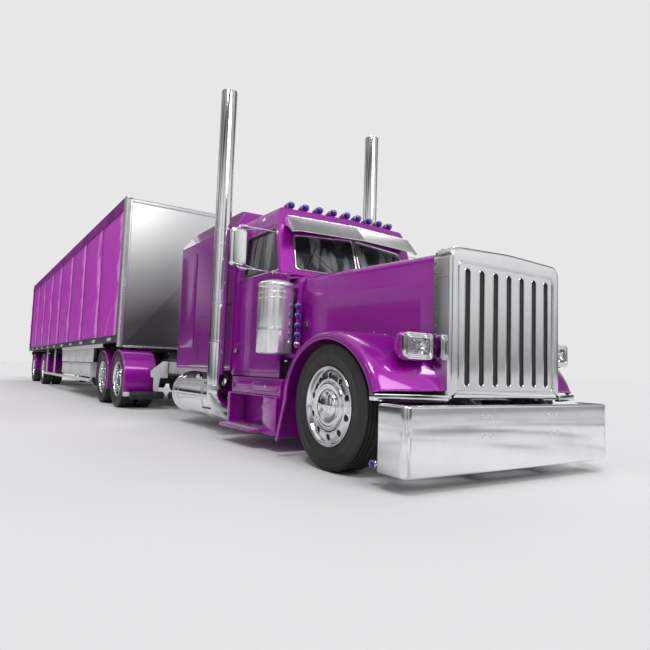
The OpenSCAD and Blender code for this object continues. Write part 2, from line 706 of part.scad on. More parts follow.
sleeper_low = 800;
sleeper_front = -cab_rear - 15;
sleeper_back = sleeper_front - sleeper_l;
roof_seam = 2610;
function sleeper_section(t) = rounded([[-sleeper_half + t, 0, 0], [-sleeper_half + t, roof_seam, 0],
    [-sleeper_half + 150 + t, sleeper_top - t, 110], [sleeper_half - 150 - t, sleeper_top - t, 110],
    [sleeper_half - t, roof_seam, 0], [sleeper_half - t, 0, 0]], 6);
function sleeper_profile(t) = rounded([[sleeper_front - t, 0, 0], [sleeper_front - t, sleeper_top - 70, 0],
    [sleeper_front - 500, sleeper_top + 40 - t, 300], [sleeper_back + 360, sleeper_top + 6 - t, 160],
    [sleeper_back + t, roof_seam + 100, 60], [sleeper_back + t, 0, 0]], 6);
module sleeper_block(t) {
    intersection() {
        along_x(sleeper_section(t), sleeper_back + t, sleeper_front - t);
        along_y(sleeper_profile(t), -cut_half, cut_half);
        // rear corners are rounded in plan
        along_z(rounded([[sleeper_back + t, -sleeper_half + t, 70], [sleeper_front - t, -sleeper_half + t, 0],
                         [sleeper_front - t, sleeper_half - t, 0], [sleeper_back + t, sleeper_half - t, 70]]), 0, 3100);
    }
}
module sleeper() {
    color(purple) difference() {
        sleeper_block(0);
        difference() {
            sleeper_block(wall_t);
            block([-6000, -cut_half, 0], [0, cut_half, floor_high]);
        }
        block([-6000, -sleeper_half + wall_t, 0], [0, sleeper_half - wall_t, floor_low]);
        block([-6000, -cut_half, 0], [0, cut_half, sleeper_low]);
        along_x(box_outline(-430, floor_high + 40, 430, 2250, 80), sleeper_front - 100, sleeper_front + 50);
        // pressed side panels and the roof cap's seam
        both_sides() {
            difference() {
                along_y(box_outline(sleeper_back + 110, 1085, sleeper_back + 760, 2490, 90), -cut_half, -sleeper_half + 8);
                along_y(box_outline(sleeper_back + 128, 1103, sleeper_back + 742, 2472, 74), -cut_half - 1, -sleeper_half + 9);
            }
            block([-6000, -cut_half, roof_seam - 12], [0, -sleeper_half + 5, roof_seam - 4]);
        }
    }
}

module sun_visor() {
    color(chrome) for (side = [-1, 1]) intersection() {
        // a bent sheet: it drops from the roof's edge and stands off the glass
        pane_place(side) along_y([[seat_gap, 630], [85, 700], [105, 692], [206, 468], [198, 462], [97, 655]],
                                 side < 0 ? -pane_half - 90 : -60, side < 0 ? 60 : pane_half + 90);
        block([screen_x - 400, side < 0 ? -cut_half : 0, screen_z], [screen_x + 400, side < 0 ? 0 : cut_half, 3000]);
    }
}

roof_lamp_x = -1460;
// The row of lamps follows the windscreen's vee
function lamp_row_x(y) = roof_lamp_x - abs(y) * 0.12;
roof_lamp_pitch = 182;
lamp_r = 40;
module bullet_lamp() {
    // nose forward on +X, tail tapering behind
    sphere(r = lamp_r, $fn = 24);
    rotate([0, -90, 0]) cylinder(r1 = lamp_r, r2 = 12, h = 150, $fn = 24);
}
lamp_stand = 58;
cleaner_x = -1070;
cleaner_y = -cowl_half - 198;
column_y = -cowl_half - 32;
cleaner_r = 183;
cleaner_low = 985;
cleaner_high = 1700;
module marker_lamps() {
    color(blue) {
        for (i = [0:roof_lamp_count - 1]) {
            y = roof_lamp_pitch * (i - (roof_lamp_count - 1) / 2);
            translate([lamp_row_x(y), y, roof_z(lamp_row_x(y)) + lamp_stand]) {
                bullet_lamp();
                along_y([[-16, -lamp_stand + seat_gap + 16 * roof_rise], [16, -lamp_stand + seat_gap - 16 * roof_rise],
                         [16, -30], [-16, -30]], -12, 12);
            }
        }
        // columns of lamps on the cowl ahead of the air cleaners
        both_sides() {
            block([-906, column_y - 6, 1040], [-886, column_y + 18, 1520]);
            for (z = [1050, 1485]) block([-980, column_y + 6, z], [-890, -cowl_half - seat_gap, z + 25]);
            for (i = [0:4]) translate([-896, column_y, 1085 + 97 * i]) sphere(r = 33, $fn = 24);
            // one low down behind the bumper's return
            translate([front_overhang - bumper_back - 54, -bumper_half + 46, bumper_low + 52]) sphere(r = 38, $fn = 24);
            rod_x(front_overhang - bumper_back - 30, front_overhang - bumper_back + 45, -bumper_half + 46, bumper_low + 52, 9);
            block([front_overhang - bumper_back + 20, -bumper_half + bumper_t + seat_gap, bumper_low + 36],
                  [front_overhang - bumper_back + 45, -bumper_half + 50, bumper_low + 68]);
        }
    }
}
module air_cleaners() {
    color(chrome) both_sides() {
        translate([cleaner_x, cleaner_y, 0]) rotate_extrude($fn = 64) polygon([
            [0, cleaner_low], [cleaner_r - 6, cleaner_low], [cleaner_r, cleaner_low + 8],
            [cleaner_r, cleaner_high - 110], [cleaner_r + 3, cleaner_high - 108], [cleaner_r + 3, cleaner_high - 96],
            [cleaner_r, cleaner_high - 94], [cleaner_r - 4, cleaner_high - 40], [cleaner_r + 4, cleaner_high - 36],
            [cleaner_r + 2, cleaner_high - 10], [cleaner_r - 24, cleaner_high + 18], [cleaner_r - 90, cleaner_high + 38],
            [0, cleaner_high + 44]]);
        for (z = [1120, 1440]) block([cleaner_x - 60, cleaner_y + cleaner_r - 20, z], [cleaner_x + 60, -cowl_half, z + 60]);
    }
}

// Exhausts, tanks, steps and the deck behind the cab

stack_x = -2500;
stack_y = -sleeper_half - 150;
elbow_r = 180;
elbow_z = 560;
module exhaust_stacks() {
    color(chrome) both_sides() {
        difference() {
            union() {
                translate([stack_x, stack_y, elbow_z]) cylinder(r = stack_r, h = stack_top - elbow_z, $fn = 48);
                for (z = [1130, 2540]) translate([stack_x, stack_y, z]) cylinder(r = stack_r + 4, h = 26, $fn = 48);
                // the foot turns in under the cab
                translate([stack_x, stack_y + elbow_r, elbow_z]) rotate([-90, 0, -90]) rotate_extrude(angle = 90, $fn = 64)
                    translate([elbow_r, 0]) circle(r = stack_r + 3, $fn = 48);
                translate([stack_x, stack_y + elbow_r - eps, elbow_z - elbow_r]) rotate([-90, 0, 0])
                    cylinder(r = stack_r, h = 180, $fn = 48);
            }
            translate([stack_x, stack_y, elbow_z + 50]) cylinder(r = stack_r - 5, h = stack_top, $fn = 48);
        }
        // bracket to the sleeper's front
        block([stack_x - 30, stack_y + stack_r - 12, roof_seam - 310],
              [stack_x + 20, -sleeper_half - seat_gap, roof_seam - 250]);
    }
}
tank_y = -768;
tank_z = 450;
module fuel_tanks() {
    x1 = tank_tip;
    x0 = x1 - tank_l;
    color(chrome) both_sides() {
        rod_x(x0 + 26, x1 - 26, tank_y, tank_z, tank_r);
        for (end = [[x0 + 26, -90], [x1 - 26, 90]]) translate([end[0], tank_y, tank_z]) rotate([0, end[1], 0])
            cylinder(r1 = tank_r, r2 = tank_r - 50, h = 26);
        // straps, and brackets from the frame
        for (x = [x0 + 260, x1 - 560]) {
            difference() {
                rod_x(x, x + 70, tank_y, tank_z, tank_r + 7);
                rod_x(x - 1, x + 71, tank_y, tank_z, tank_r - 2);
            }
            block([x, tank_y + tank_r - 120, rail_low + 20], [x + 70, -rail_out, rail_low + 90]);
            block([x, tank_y + 120, tank_z + 200], [x + 70, tank_y + tank_r - 110, rail_low + 90]);
        }
    }
}
tank_tip = -2610;
step_front = -985;
step_back = -2170;
step_out = -1125;
module step_boxes() {
    color(purple) both_sides() difference() {
        union() {
            along_y(rounded([[step_front, 735, 0], [step_front, 190, 30], [step_front - 60, 168, 30],
                             [step_back + 60, 168, 30], [step_back, 190, 30], [step_back, 735, 0]]), step_out, -640);
            block([step_back + 250, -700, rail_low + 60], [step_front - 250, -rail_out, rail_low + 90]);
            // tread plate that stands out at the foot
            along_z(rounded([[step_back + 10, step_out + 20, 0], [step_back + 40, step_out - 120, 30],
                             [step_front - 330, step_out - 120, 30], [step_front - 300, step_out + 20, 0]]), 175, 215);
        }
        // the toe space above the tread
        along_y(box_outline(step_back + 70, 216, step_front - 280, 545, 20), step_out - 50, step_out + 190);
        // upper panel sits back a little
        block([step_back - 50, step_out - 50, 560], [step_front + 50, step_out + 45, 800]);
        // pressed outline of the side locker
        difference() {
            along_y(box_outline(step_front - 620, 600, step_front - 40, 700, 30), step_out, step_out + 50);
            along_y(box_outline(step_front - 612, 608, step_front - 48, 692, 24), step_out - 1, step_out + 51);
        }
    }
}

twin_fender_r = 566;
twin_fender_in = 620;
twin_fender_out = 1226;
// An arched guard round a twin wheel; it runs from angle a0 to a1 above the horizontal
module twin_fender(x, a0, a1) {
    translate([x, 0, tyre_r]) rotate([90, 0, 0]) rotate(a0) rotate_extrude(angle = a1 - a0, $fn = 96)
        polygon([[twin_fender_r, twin_fender_in], [twin_fender_r + 16, twin_fender_in],
                 [twin_fender_r + 16, twin_fender_out - 12], [twin_fender_r + 10, twin_fender_out],
                 [twin_fender_r - 22, twin_fender_out], [twin_fender_r - 22, twin_fender_out - 8],
                 [twin_fender_r, twin_fender_out - 14]]);
}
module drive_fenders() {
    color(purple) both_sides() for (x = drive_axles_x) {
        twin_fender(x, -22, 196);
        // tube from the frame to the guard
        rod_y(x + (x > kingpin_x ? 543 : -543), tyre_r + 196, -twin_fender_in - 40, -rail_out, 14);
    }
}
fifth_r = 470;
kingpin_radius = 25.4;
module fifth_wheel() {
    color(black) {
        difference() {
            translate([kingpin_x, 0, coupler_z - 45]) cylinder(r = fifth_r, h = 45 - seat_gap, $fn = 64);
            translate([kingpin_x, 0, coupler_z - 100]) cylinder(r = kingpin_radius + pin_gap, h = 200);
            // throat that guides the pin, open to the rear
            along_z([[kingpin_x - 60, -26], [kingpin_x - 60, 26], [kingpin_x - fifth_r - 20, 190],
                     [kingpin_x - fifth_r - 20, -190]], coupler_z - 100, coupler_z + 50);
        }
        both_sides() along_y([[kingpin_x - 170, rail_high], [kingpin_x + 170, rail_high],
                              [kingpin_x + 90, coupler_z - 44], [kingpin_x - 90, coupler_z - 44]], -410, -340);
    }
}
module cab_interior() {
    color(black) {
        // dashboard across the cab, with the steering column on the left
        along_y(rounded([[-1180, 1400, 30], [-1010 - seat_gap, 1400, 0], [-1010 - seat_gap, 1700, 0], [-1150, 1700, 50], [-1250, 1640, 40],
                         [-1230, 1520, 30]]), -860, 860);
        translate([-1285, 480, 1640]) rotate([0, -60, 0]) {
            translate([0, 0, -90]) cylinder(r = 26, h = 280);
            translate([0, 0, 178]) rotate_extrude($fn = 48) translate([225, 0]) circle(r = 16, $fn = 20);
            for (a = [90, 210, 330]) rotate(a) block([0, -14, 170], [225, 14, 186]);
        }
        // two seats
        both_sides() translate([-1960, -480, 0]) {
            block([-200, -200, floor_high], [160, 200, 1300]);
            along_y(rounded([[-250, 1280, 30], [270, 1280, 40], [290, 1410, 50], [-120, 1400, 40], [-220, 2050, 40],
                             [-330, 2060, 40]]), -250, 250);
        }
    }
}

// Trailer

deck_low = 1250;
deck_high = 1390;
wall_x = 70;
top_rail_low = 3880;
roof_t = 50;
beam_y = 480;
bogie_front = trailer_axles_x[0] + 900;

module trailer_frame() {
    color(black) {
        both_sides() {
            // main beams, shallow over the coupling and deep behind it
            along_y([[trailer_front - wall_x, deck_low], [trailer_front - wall_x, coupler_z + 60],
                     [kingpin_x - 1350, coupler_z + 60], [kingpin_x - 2000, 870], [trailer_rear + 150, 870],
                     [trailer_rear + 150, deck_low]], -beam_y - 60, -beam_y + 60);
        }
        // coupling plate and kingpin
        block([kingpin_x - 1000, -beam_y - 500, coupler_z], [trailer_front - wall_x, beam_y + 500, coupler_z + 62]);
        translate([kingpin_x, 0, coupler_z - 80]) cylinder(r = kingpin_radius, h = 90);
        for (i = [0:6]) {
            x = kingpin_x - 1950 - i * (trailer_l - 3900) / 6.6;
            block([x, -beam_y - 20, 960], [x + 80, beam_y + 20, 1160]);
        }
    }
}
module trailer_floor() {
    color(black) {
        block([trailer_rear, -trailer_half + 6, deck_low + seat_gap], [trailer_front - wall_x - seat_gap, trailer_half - 6, deck_high]);
    }
}
module trailer_front_wall() {
    color(pale) {
        block([trailer_front - wall_x, -trailer_half + 70, coupler_z + 2], [trailer_front - 12, trailer_half - 70, trailer_top - roof_t]);
        both_sides() along_z(rounded([[trailer_front - wall_x - 90, -trailer_half, 0], [trailer_front, -trailer_half, 45],
                                      [trailer_front, -trailer_half + 90, 0], [trailer_front - 30, -trailer_half + 110, 0],
                                      [trailer_front - wall_x, -trailer_half + 110, 0], [trailer_front - wall_x, -trailer_half + 40, 0],
                                      [trailer_front - wall_x - 90, -trailer_half + 40, 0]]), deck_high + seat_gap, trailer_top - roof_t);
    }
}
module trailer_roof() {
    color(pale) {
        block([trailer_rear, -trailer_half + 20, trailer_top - roof_t + seat_gap], [trailer_front, trailer_half - 20, trailer_top]);
    }
}
module trailer_posts() {
    pitch = (trailer_l - 2 * wall_x) / curtain_bays;
    color(dark_purple) {
        both_sides() {
            // top rail with the valance that hangs over the curtain
            block([trailer_rear + 100 + seat_gap, -trailer_half + 2, top_rail_low], [trailer_front - wall_x - 90 - seat_gap, -trailer_half + 60, trailer_top - roof_t]);
            for (i = [1:curtain_bays - 1]) {
                x = trailer_front - wall_x - pitch * i;
                block([x - 40, -trailer_half + 62, deck_high], [x + 40, -trailer_half + 130, top_rail_low + 30]);
                block([x - 40, -trailer_half + 50, top_rail_low + 10], [x + 40, -trailer_half + 130, top_rail_low + 120]);
            }
        }
        // rear frame: two corner posts and a header
        both_sides() block([trailer_rear, -trailer_half, deck_high + seat_gap], [trailer_rear + 100, -trailer_half + 60, trailer_top - roof_t]);
        block([trailer_rear, -trailer_half + 50, 4010], [trailer_rear + 100, trailer_half - 50, trailer_top - roof_t]);
    }
}
curtain_t = 8;
curtain_bulge = 22;
curtain_points = 10;
module curtain() {
    x1 = trailer_front - wall_x - 92;
    x0 = trailer_rear + 102;
    pitch = (x1 - x0) / curtain_bays;
    // each bay billows between its straps
    edge = [for (i = [0:curtain_bays * curtain_points])
        let (u = i / curtain_points) [x1 - pitch * u, -trailer_half + 34 - curtain_bulge * abs(sin(180 * u))]];
    along_z(concat(edge, [for (i = [len(edge) - 1:-1:0]) edge[i] + [0, curtain_t]]),
            deck_high + seat_gap, top_rail_low - seat_gap);
}
module trailer_curtains() {
    color(purple) both_sides() curtain();
}
rear_hinge_x = trailer_rear - rear_door_t - 8;
rear_hinge_y = -trailer_half - 4;
module rear_door(side) {
    color(pale) on_side(side) {
        block([trailer_rear - rear_door_t, -trailer_half + 14, deck_low + 60], [trailer_rear - seat_gap, -gap, trailer_top - roof_t - 10]);
        // hinge straps and barrels
        for (z = [1500, 2300, 3100, 3880]) {
            translate([rear_hinge_x, rear_hinge_y, z]) cylinder(r = 10, h = 60, $fn = 24);
            block([rear_hinge_x - 6, rear_hinge_y, z], [rear_hinge_x + 9, -trailer_half + 160, z + 60]);
        }
        // lock rods with their handles
        for (y = [-330, -900]) {
            translate([trailer_rear - rear_door_t - lock_rod_r - seat_gap, y, deck_low + 70]) cylinder(r = lock_rod_r, h = 2750, $fn = 20);
            for (z = [1450, 2500, 3850]) block([trailer_rear - rear_door_t - lock_rod_r, y - 30, z], [trailer_rear - rear_door_t + eps, y + 30, z + 60]);
        }
    }
}
module trailer_axles() {
    color(black) {
        for (x = trailer_axles_x) {
            twin_axle(x, 0);
            both_sides() {
                // trailing arm, air spring and hanger
                along_y([[x + 560, 560], [x + 560, 640], [x, 690], [x - 330, 640], [x - 330, 560], [x, 580]], -beam_y - 50, -beam_y + 50);
                block([x + 460, -beam_y - 50, 600], [x + 580, -beam_y + 50, 870]);
                translate([x - 240, -beam_y, 635]) cylinder(r = 105, h = 870 - 635);
            }
        }
    }
}
module trailer_fenders() {
    color(purple) both_sides() for (x = trailer_axles_x) {
        twin_fender(x, -8, 188);
        block([x - 30, -twin_fender_in - 20, tyre_r + twin_fender_r + 14], [x + 30, -beam_y - 60, tyre_r + twin_fender_r + 30]);
    }
}
skirt_front = kingpin_x - 1450;
locker_front = kingpin_x - 1800;
locker_back = -14000;
guard_back = trailer_axles_x[0] + 950;
module side_boxes() {
    color(pale) both_sides() {
        // side rail under the deck and the skirt below it
        block([locker_back, -trailer_half + 12, 1163], [kingpin_x - 450, -trailer_half + 60, deck_low]);
        block([locker_back, -trailer_half + 30, 850], [skirt_front, -trailer_half + 42, 1164]);
        // locker
        along_x(rounded([[-trailer_half + 50, 500, 40], [-810, 500, 20], [-810, 846, 0], [-trailer_half + 50, 846, 0]]),
                locker_back, locker_front);
        block([locker_back + 100, -830, 840], [locker_back + 200, -beam_y - 60, 960]);
        block([locker_front - 200, -830, 840], [locker_front - 100, -beam_y - 60, 960]);
        // side guard rail with its posts
        block([guard_back, -trailer_half + 30, 395], [locker_front, -trailer_half + 70, 470]);
        for (x = [locker_front - 60, (locker_front + locker_back) / 2, locker_back + 20])
            block([x - 30, -trailer_half + 70 - eps, 400], [x + 30, -trailer_half + 110, 505]);
        for (x = [guard_back + 60, (guard_back + locker_back) / 2])
            block([x - 30, -trailer_half + 70 - eps, 400], [x + 30, -trailer_half + 110, deck_low]);
    }
}
module landing_gear() {
    x = kingpin_x - 2700;
    color(black) {
        both_sides() {
            block([x - 55, -740, 560], [x + 55, -640, 1180]);
            block([x - 42, -727, 330], [x + 42, -653, 562]);
            block([x - 130, -770, 300], [x + 130, -610, 332]);
            block([x - 55, -650, 1060], [x + 55, -beam_y - 60, 1180]);
        }
        rod_y(x, 640, -645, 645, 24);
    }
}
module rear_guard() {
    color(black) {
        block([trailer_rear + 10, -1150, 460], [trailer_rear + 110, 1150, 560]);
        both_sides() {
            block([trailer_rear + 30, -620, 555], [trailer_rear + 110, -540, deck_low]);
            // mud flap behind the last twin wheel
            block([trailer_rear + 640, -1200, 330], [trailer_rear + 652, -620, 1190]);
            block([trailer_rear + 640, -1200, 1180], [trailer_rear + 700, -beam_y - 60, 1240]);
        }
    }
}

module placed() {
    translate([axle_x, 0, 0]) children();
}
module wheel_node(name) {
    for (set = [["drive", drive_axles_x], ["trailer", trailer_axles_x]], n = [0, 1], side = [-1, 1])
        if (name == str(set[0], "_wheel_", n + 1, "_", side < 0 ? "right" : "left")) twin_wheel(set[1][n], side);
}

placed() frame();
placed() front_axle();
placed() drive_axles();
placed() engine();
placed() radiator();
placed() bumper();
placed() cab();
placed() sleeper();
placed() windscreen();
placed() sun_visor();
placed() marker_lamps();
placed() cab_interior();
placed() air_cleaners();
placed() exhaust_stacks();
placed() fuel_tanks();
placed() step_boxes();
placed() drive_fenders();
placed() fifth_wheel();
placed() hood();
placed() front_fenders();
placed() grille_surround();
placed() grille();
placed() headlamps();
placed() door(-1);  // door_right
placed() door(1);  // door_left
placed() door_glass(-1);  // door_glass_right
placed() door_glass(1);  // door_glass_left
placed() door_mirror(-1);  // mirror_right
placed() door_mirror(1);  // mirror_left
placed() knuckle();  // knuckle_right
placed() mirror([0, 1, 0]) knuckle();  // knuckle_left
placed() tie_rod();
placed() wheel_place(0, front_track, -1) tyre();  // front_tyre_right
placed() wheel_place(0, front_track, 1) tyre();  // front_tyre_left
placed() wheel_place(0, front_track, -1) front_rim();  // front_rim_right
placed() wheel_place(0, front_track, 1) front_rim();  // front_rim_left
placed() trailer_frame();
placed() trailer_floor();
placed() trailer_front_wall();
placed() trailer_roof();
placed() trailer_posts();
placed() trailer_curtains();
placed() rear_door(-1);  // rear_door_right
placed() rear_door(1);  // rear_door_left
placed() trailer_axles();
placed() trailer_fenders();
placed() side_boxes();
placed() landing_gear();
placed() rear_guard();
for (name = WHEEL_NODES) placed() wheel_node(name);
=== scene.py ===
import json
import math
import random

import bpy
import numpy as np
from mathutils import Matrix, Vector


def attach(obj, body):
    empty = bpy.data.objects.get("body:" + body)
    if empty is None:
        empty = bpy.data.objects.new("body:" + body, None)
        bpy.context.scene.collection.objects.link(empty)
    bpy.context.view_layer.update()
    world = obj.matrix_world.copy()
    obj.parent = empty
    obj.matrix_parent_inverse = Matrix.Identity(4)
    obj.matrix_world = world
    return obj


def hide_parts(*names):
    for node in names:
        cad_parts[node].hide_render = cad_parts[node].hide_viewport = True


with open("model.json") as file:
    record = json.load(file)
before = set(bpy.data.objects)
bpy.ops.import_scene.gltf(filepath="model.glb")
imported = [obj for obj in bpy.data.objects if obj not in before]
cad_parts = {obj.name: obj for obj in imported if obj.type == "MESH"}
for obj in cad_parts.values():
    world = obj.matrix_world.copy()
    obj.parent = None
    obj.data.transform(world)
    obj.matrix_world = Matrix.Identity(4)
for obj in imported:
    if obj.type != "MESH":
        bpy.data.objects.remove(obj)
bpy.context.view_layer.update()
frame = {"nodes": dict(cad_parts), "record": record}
nodes = frame["nodes"]
# The drawing frame has X = 0 at the front axle; the shared frame has it at the middle of the vehicle
AX = 11.1502
# The sign of Y on each side of the vehicle
SIDES = ((-1, "right"), (1, "left"))

# Trailer sizes
T_FRONT, T_REAR, T_HALF, T_TOP = -7.100, -23.280, 1.295, 4.115
DECK_LOW, DECK_HIGH, KINGPIN = 1.250, 1.390, -8.000
BAYS = 8
CURTAIN_X = (T_FRONT - 0.162, T_REAR + 0.102)
CURTAIN_Z = (DECK_HIGH + 0.0003, 3.8797)
BAY = (CURTAIN_X[0] - CURTAIN_X[1]) / BAYS
BEAM_Y, BEAM_OUT = 0.480, 0.5405
# Outer face of the tractor's frame rails
RAIL_OUT = 0.4305

# Camera: angles in radians, focal length in pixels of the picture, place in the drawing frame
YAW, PITCH, ROLL, FOCAL = 0.5810, 0.0822, 0.0336, 551.49
EYE, PICTURE, SENSOR = (3.881, -3.769, 0.837), 650, 36


def add_camera():
    d = Vector((-math.cos(YAW) * math.cos(PITCH), math.sin(YAW) * math.cos(PITCH), math.sin(PITCH)))
    right = d.cross(Vector((0, 0, 1))).normalized()
    up = right.cross(d)
    r = math.cos(ROLL) * right + math.sin(ROLL) * up
    u = -math.sin(ROLL) * right + math.cos(ROLL) * up
    data = bpy.data.cameras.new("photo_camera")
    data.lens = SENSOR * FOCAL / PICTURE
    data.sensor_width = SENSOR
    data.clip_end = 400
    cam = bpy.data.objects.new("photo_camera", data)
    bpy.context.scene.collection.objects.link(cam)
    m = Matrix((r, u, -d)).transposed().to_4x4()
    m.translation = Vector(EYE) + Vector((AX, 0, 0))
    cam.matrix_world = m
    bpy.context.scene.camera = cam


add_camera()
bpy.context.scene.view_settings.view_transform = "Standard"


# Materials
def feed(tree, socket, v):
    """Links an output to a socket, or sets the socket's own value."""
    if isinstance(v, bpy.types.NodeSocket):
        tree.links.new(v, socket)
    else:
        socket.default_value = v


def add_node(tree, kind, values=(), **settings):
    """A shader node; values has what goes into each input."""
    n = tree.nodes.new("ShaderNode" + kind)
    for key, v in settings.items():
        setattr(n, key, v)
    for key, v in dict(values).items():
        feed(tree, n.inputs[key], v)
    return n


def add_ramp(tree, fac, stops):
    """Each stop is a place from 0 to 1, and a colour or a grey."""
    n = add_node(tree, "ValToRGB", {"Fac": fac})
    e = n.color_ramp.elements
    while len(e) < len(stops):
        e.new(0.5)
    for el, (p, c) in zip(e, stops):
        el.position = p
        el.color = (*c, 1) if isinstance(c, tuple) else (c, c, c, 1)
    return n.outputs["Color"]


class Mat:
    """A node material with a few helpers for procedural detail."""

    def __init__(self, name):
        self.m = bpy.data.materials.new(name)
        self.m.use_nodes = True
        self.t = self.m.node_tree
        self.b = self.t.nodes["Principled BSDF"]
        self.co = self.node("TexCoord").outputs["Object"]

    def set(self, **k):
        for key, v in k.items():
            self.b.inputs[key.replace("_", " ").title().replace("Ior", "IOR")].default_value = v

    def node(self, kind, values=(), **settings):
        return add_node(self.t, kind, values, **settings)

    def noise(self, scale, detail=3.0, rough=0.5, distort=0.0):
        size = scale if isinstance(scale, tuple) else (scale,) * 3
        place = self.node("Mapping", {"Scale": size, "Vector": self.co}).outputs["Vector"]
        return self.node("TexNoise", {"Detail": detail, "Roughness": rough, "Distortion": distort,
                                      "Scale": 1.0, "Vector": place}).outputs["Fac"]

    def ramp(self, fac, stops):
        return add_ramp(self.t, fac, stops)

    def range(self, fac, a, b, lo=0.0, hi=1.0):
        return self.node("MapRange", {"From Min": lo, "From Max": hi, "To Min": a, "To Max": b,
                                      "Value": fac}).outputs["Result"]

    def math(self, op, a, b=None):
        return self.node("Math", {0: a} if b is None else {0: a, 1: b}, operation=op).outputs[0]

    def mix(self, fac, a, b):
        a, b = ((*v, 1) if isinstance(v, tuple) else v for v in (a, b))
        return self.node("Mix", {0: fac, 6: a, 7: b}, data_type="RGBA").outputs[2]

    def bump(self, height, strength, dist=0.001, radius=None):
        """A bumped normal, over edges softened by radius where one is given."""
        values = {"Strength": strength, "Distance": dist, "Height": height}
        if radius is not None:
            values["Normal"] = self.node("Bevel", {"Radius": radius}, samples=4).outputs["Normal"]
        feed(self.t, self.b.inputs["Normal"], self.node("Bump", values).outputs["Normal"])

    def color(self, c):
        feed(self.t, self.b.inputs["Base Color"], (*c, 1) if isinstance(c, tuple) else c)

    def rough(self, r):
        feed(self.t, self.b.inputs["Roughness"], r)


def paint(name, base, dark, edge=0.004):
    m = Mat(name)
    m.set(metallic=0.30, specular_ior_level=0.25, coat_weight=1.0, coat_roughness=0.035, coat_ior=1.5)
    v = m.noise(900.0, 1.0)
    big = m.noise(1.6, 2.0)
    m.color(m.mix(m.math("ADD", m.math("MULTIPLY", v, 0.45), m.math("MULTIPLY", big, 0.35)), dark, base))
    m.rough(m.range(m.noise(3.0, 4.0), 0.24, 0.34))
    m.bump(m.noise(420.0, 1.0), 0.03, 0.0006, edge)
    return m.m


def metal(name, base, rough=(0.05, 0.11), edge=0.003, streak=None, peel=0.02, metallic=1.0):
    m = Mat(name)
    m.set(metallic=metallic)
    smudge = m.noise(2.3, 5.0, 0.6, 0.6)
    m.color(m.mix(m.range(smudge, 0.0, 1.0, 0.35, 0.75), base, tuple(c * 0.9 for c in base)))
    m.rough(m.range(m.noise((9.0, 9.0, 3.0), 5.0, 0.7), rough[0], rough[1]))
    m.bump(m.noise(streak or 160.0, 2.0), peel, 0.0005, edge)
    return m.m


def coated(name, base, second, rough=(0.35, 0.55), metallic=0.0, bump=0.08, scale=220.0, edge=0.003, coat=0.0,
           level=0.5):
    m = Mat(name)
    m.set(metallic=metallic, specular_ior_level=level)
    if coat:
        m.set(coat_weight=coat, coat_roughness=0.08)
    m.color(m.mix(m.range(m.noise(2.7, 6.0, 0.62), 0.0, 1.0, 0.35, 0.72), base, second))
    m.rough(m.range(m.noise(14.0, 5.0, 0.6), rough[0], rough[1]))
    m.bump(m.noise(scale, 3.0), bump, 0.001, edge)
    return m.m


def cloth_with_painted_folds(name, dark, mid, light):
    """Coated weave with painted shade and painted highlights: lighter and darker along slanting folds, and
    across each bay from a painted highlight at its front edge to painted shade at its rear.
    """
    m = Mat(name)
    m.set(specular_ior_level=0.35, coat_weight=0.12, coat_roughness=0.25)
    # slanting noise painted as highlight and shade along the folds
    tilt = m.node("Mapping", {"Rotation": (0, math.radians(48), 0), "Scale": (0.42, 1.0, 3.2),
                              "Vector": m.co},
                  vector_type="TEXTURE")
    folds = m.node("TexNoise", {"Scale": 1.0, "Detail": 1.6, "Distortion": 0.3,
                                "Vector": tilt.outputs["Vector"]}).outputs["Fac"]
    x = m.node("SeparateXYZ", {0: m.co}).outputs["X"]
    along = m.math("DIVIDE", m.math("SUBTRACT", CURTAIN_X[0] + AX, x), BAY)
    swayed = m.math("ADD", m.math("FRACT", along), m.math("MULTIPLY", m.math("SUBTRACT", folds, 0.5), 0.55))
    # painted highlight near each bay's front edge, painted shade towards its rear
    bay = m.ramp(swayed, [(0.0, 0.70), (0.05, 0.86), (0.13, 0.80), (0.20, 0.52), (0.55, 0.50), (0.82, 0.40),
                          (0.95, 0.16), (1.0, 0.10)])
    fac = m.math("ADD", m.math("MULTIPLY", bay, 0.62), m.math("MULTIPLY", folds, 0.38))
    # the dark tone is painted shade, the light tone a painted highlight
    m.color(m.ramp(fac, [(0.16, dark), (0.40, mid), (0.56, mid), (0.70, light)]))
    m.rough(m.range(m.noise(9.0, 4.0), 0.36, 0.5))
    m.bump(m.noise(700.0, 2.0), 0.2, 0.0006)
    return m.m


def pane(m, **look):
    """The clear, faintly wavy surface of glass."""
    m.set(ior=1.45, coat_roughness=0.02, **look)
    m.rough(m.range(m.noise(1.3, 4.0), 0.01, 0.05))
    m.bump(m.noise(2.0, 2.0), 0.03, 0.002)
    return m.m


def glass(name, tint, clear=1.0):
    m = Mat(name)
    m.color(tint)
    return pane(m, transmission_weight=clear, coat_weight=0.3)


def window(name, dark, light):
    """Tinted glass with soft upright streaks of painted reflection in its colour."""
    m = Mat(name)
    n = m.noise((5.2, 5.2, 0.5), 3.0, 0.55, 0.2)
    # painted reflection: light streaks over the dark tint
    m.color(m.ramp(n, [(0.40, dark), (0.50, dark), (0.57, light), (0.68, tuple(c * 1.8 for c in light))]))
    return pane(m, transmission_weight=0.45, coat_weight=0.5)


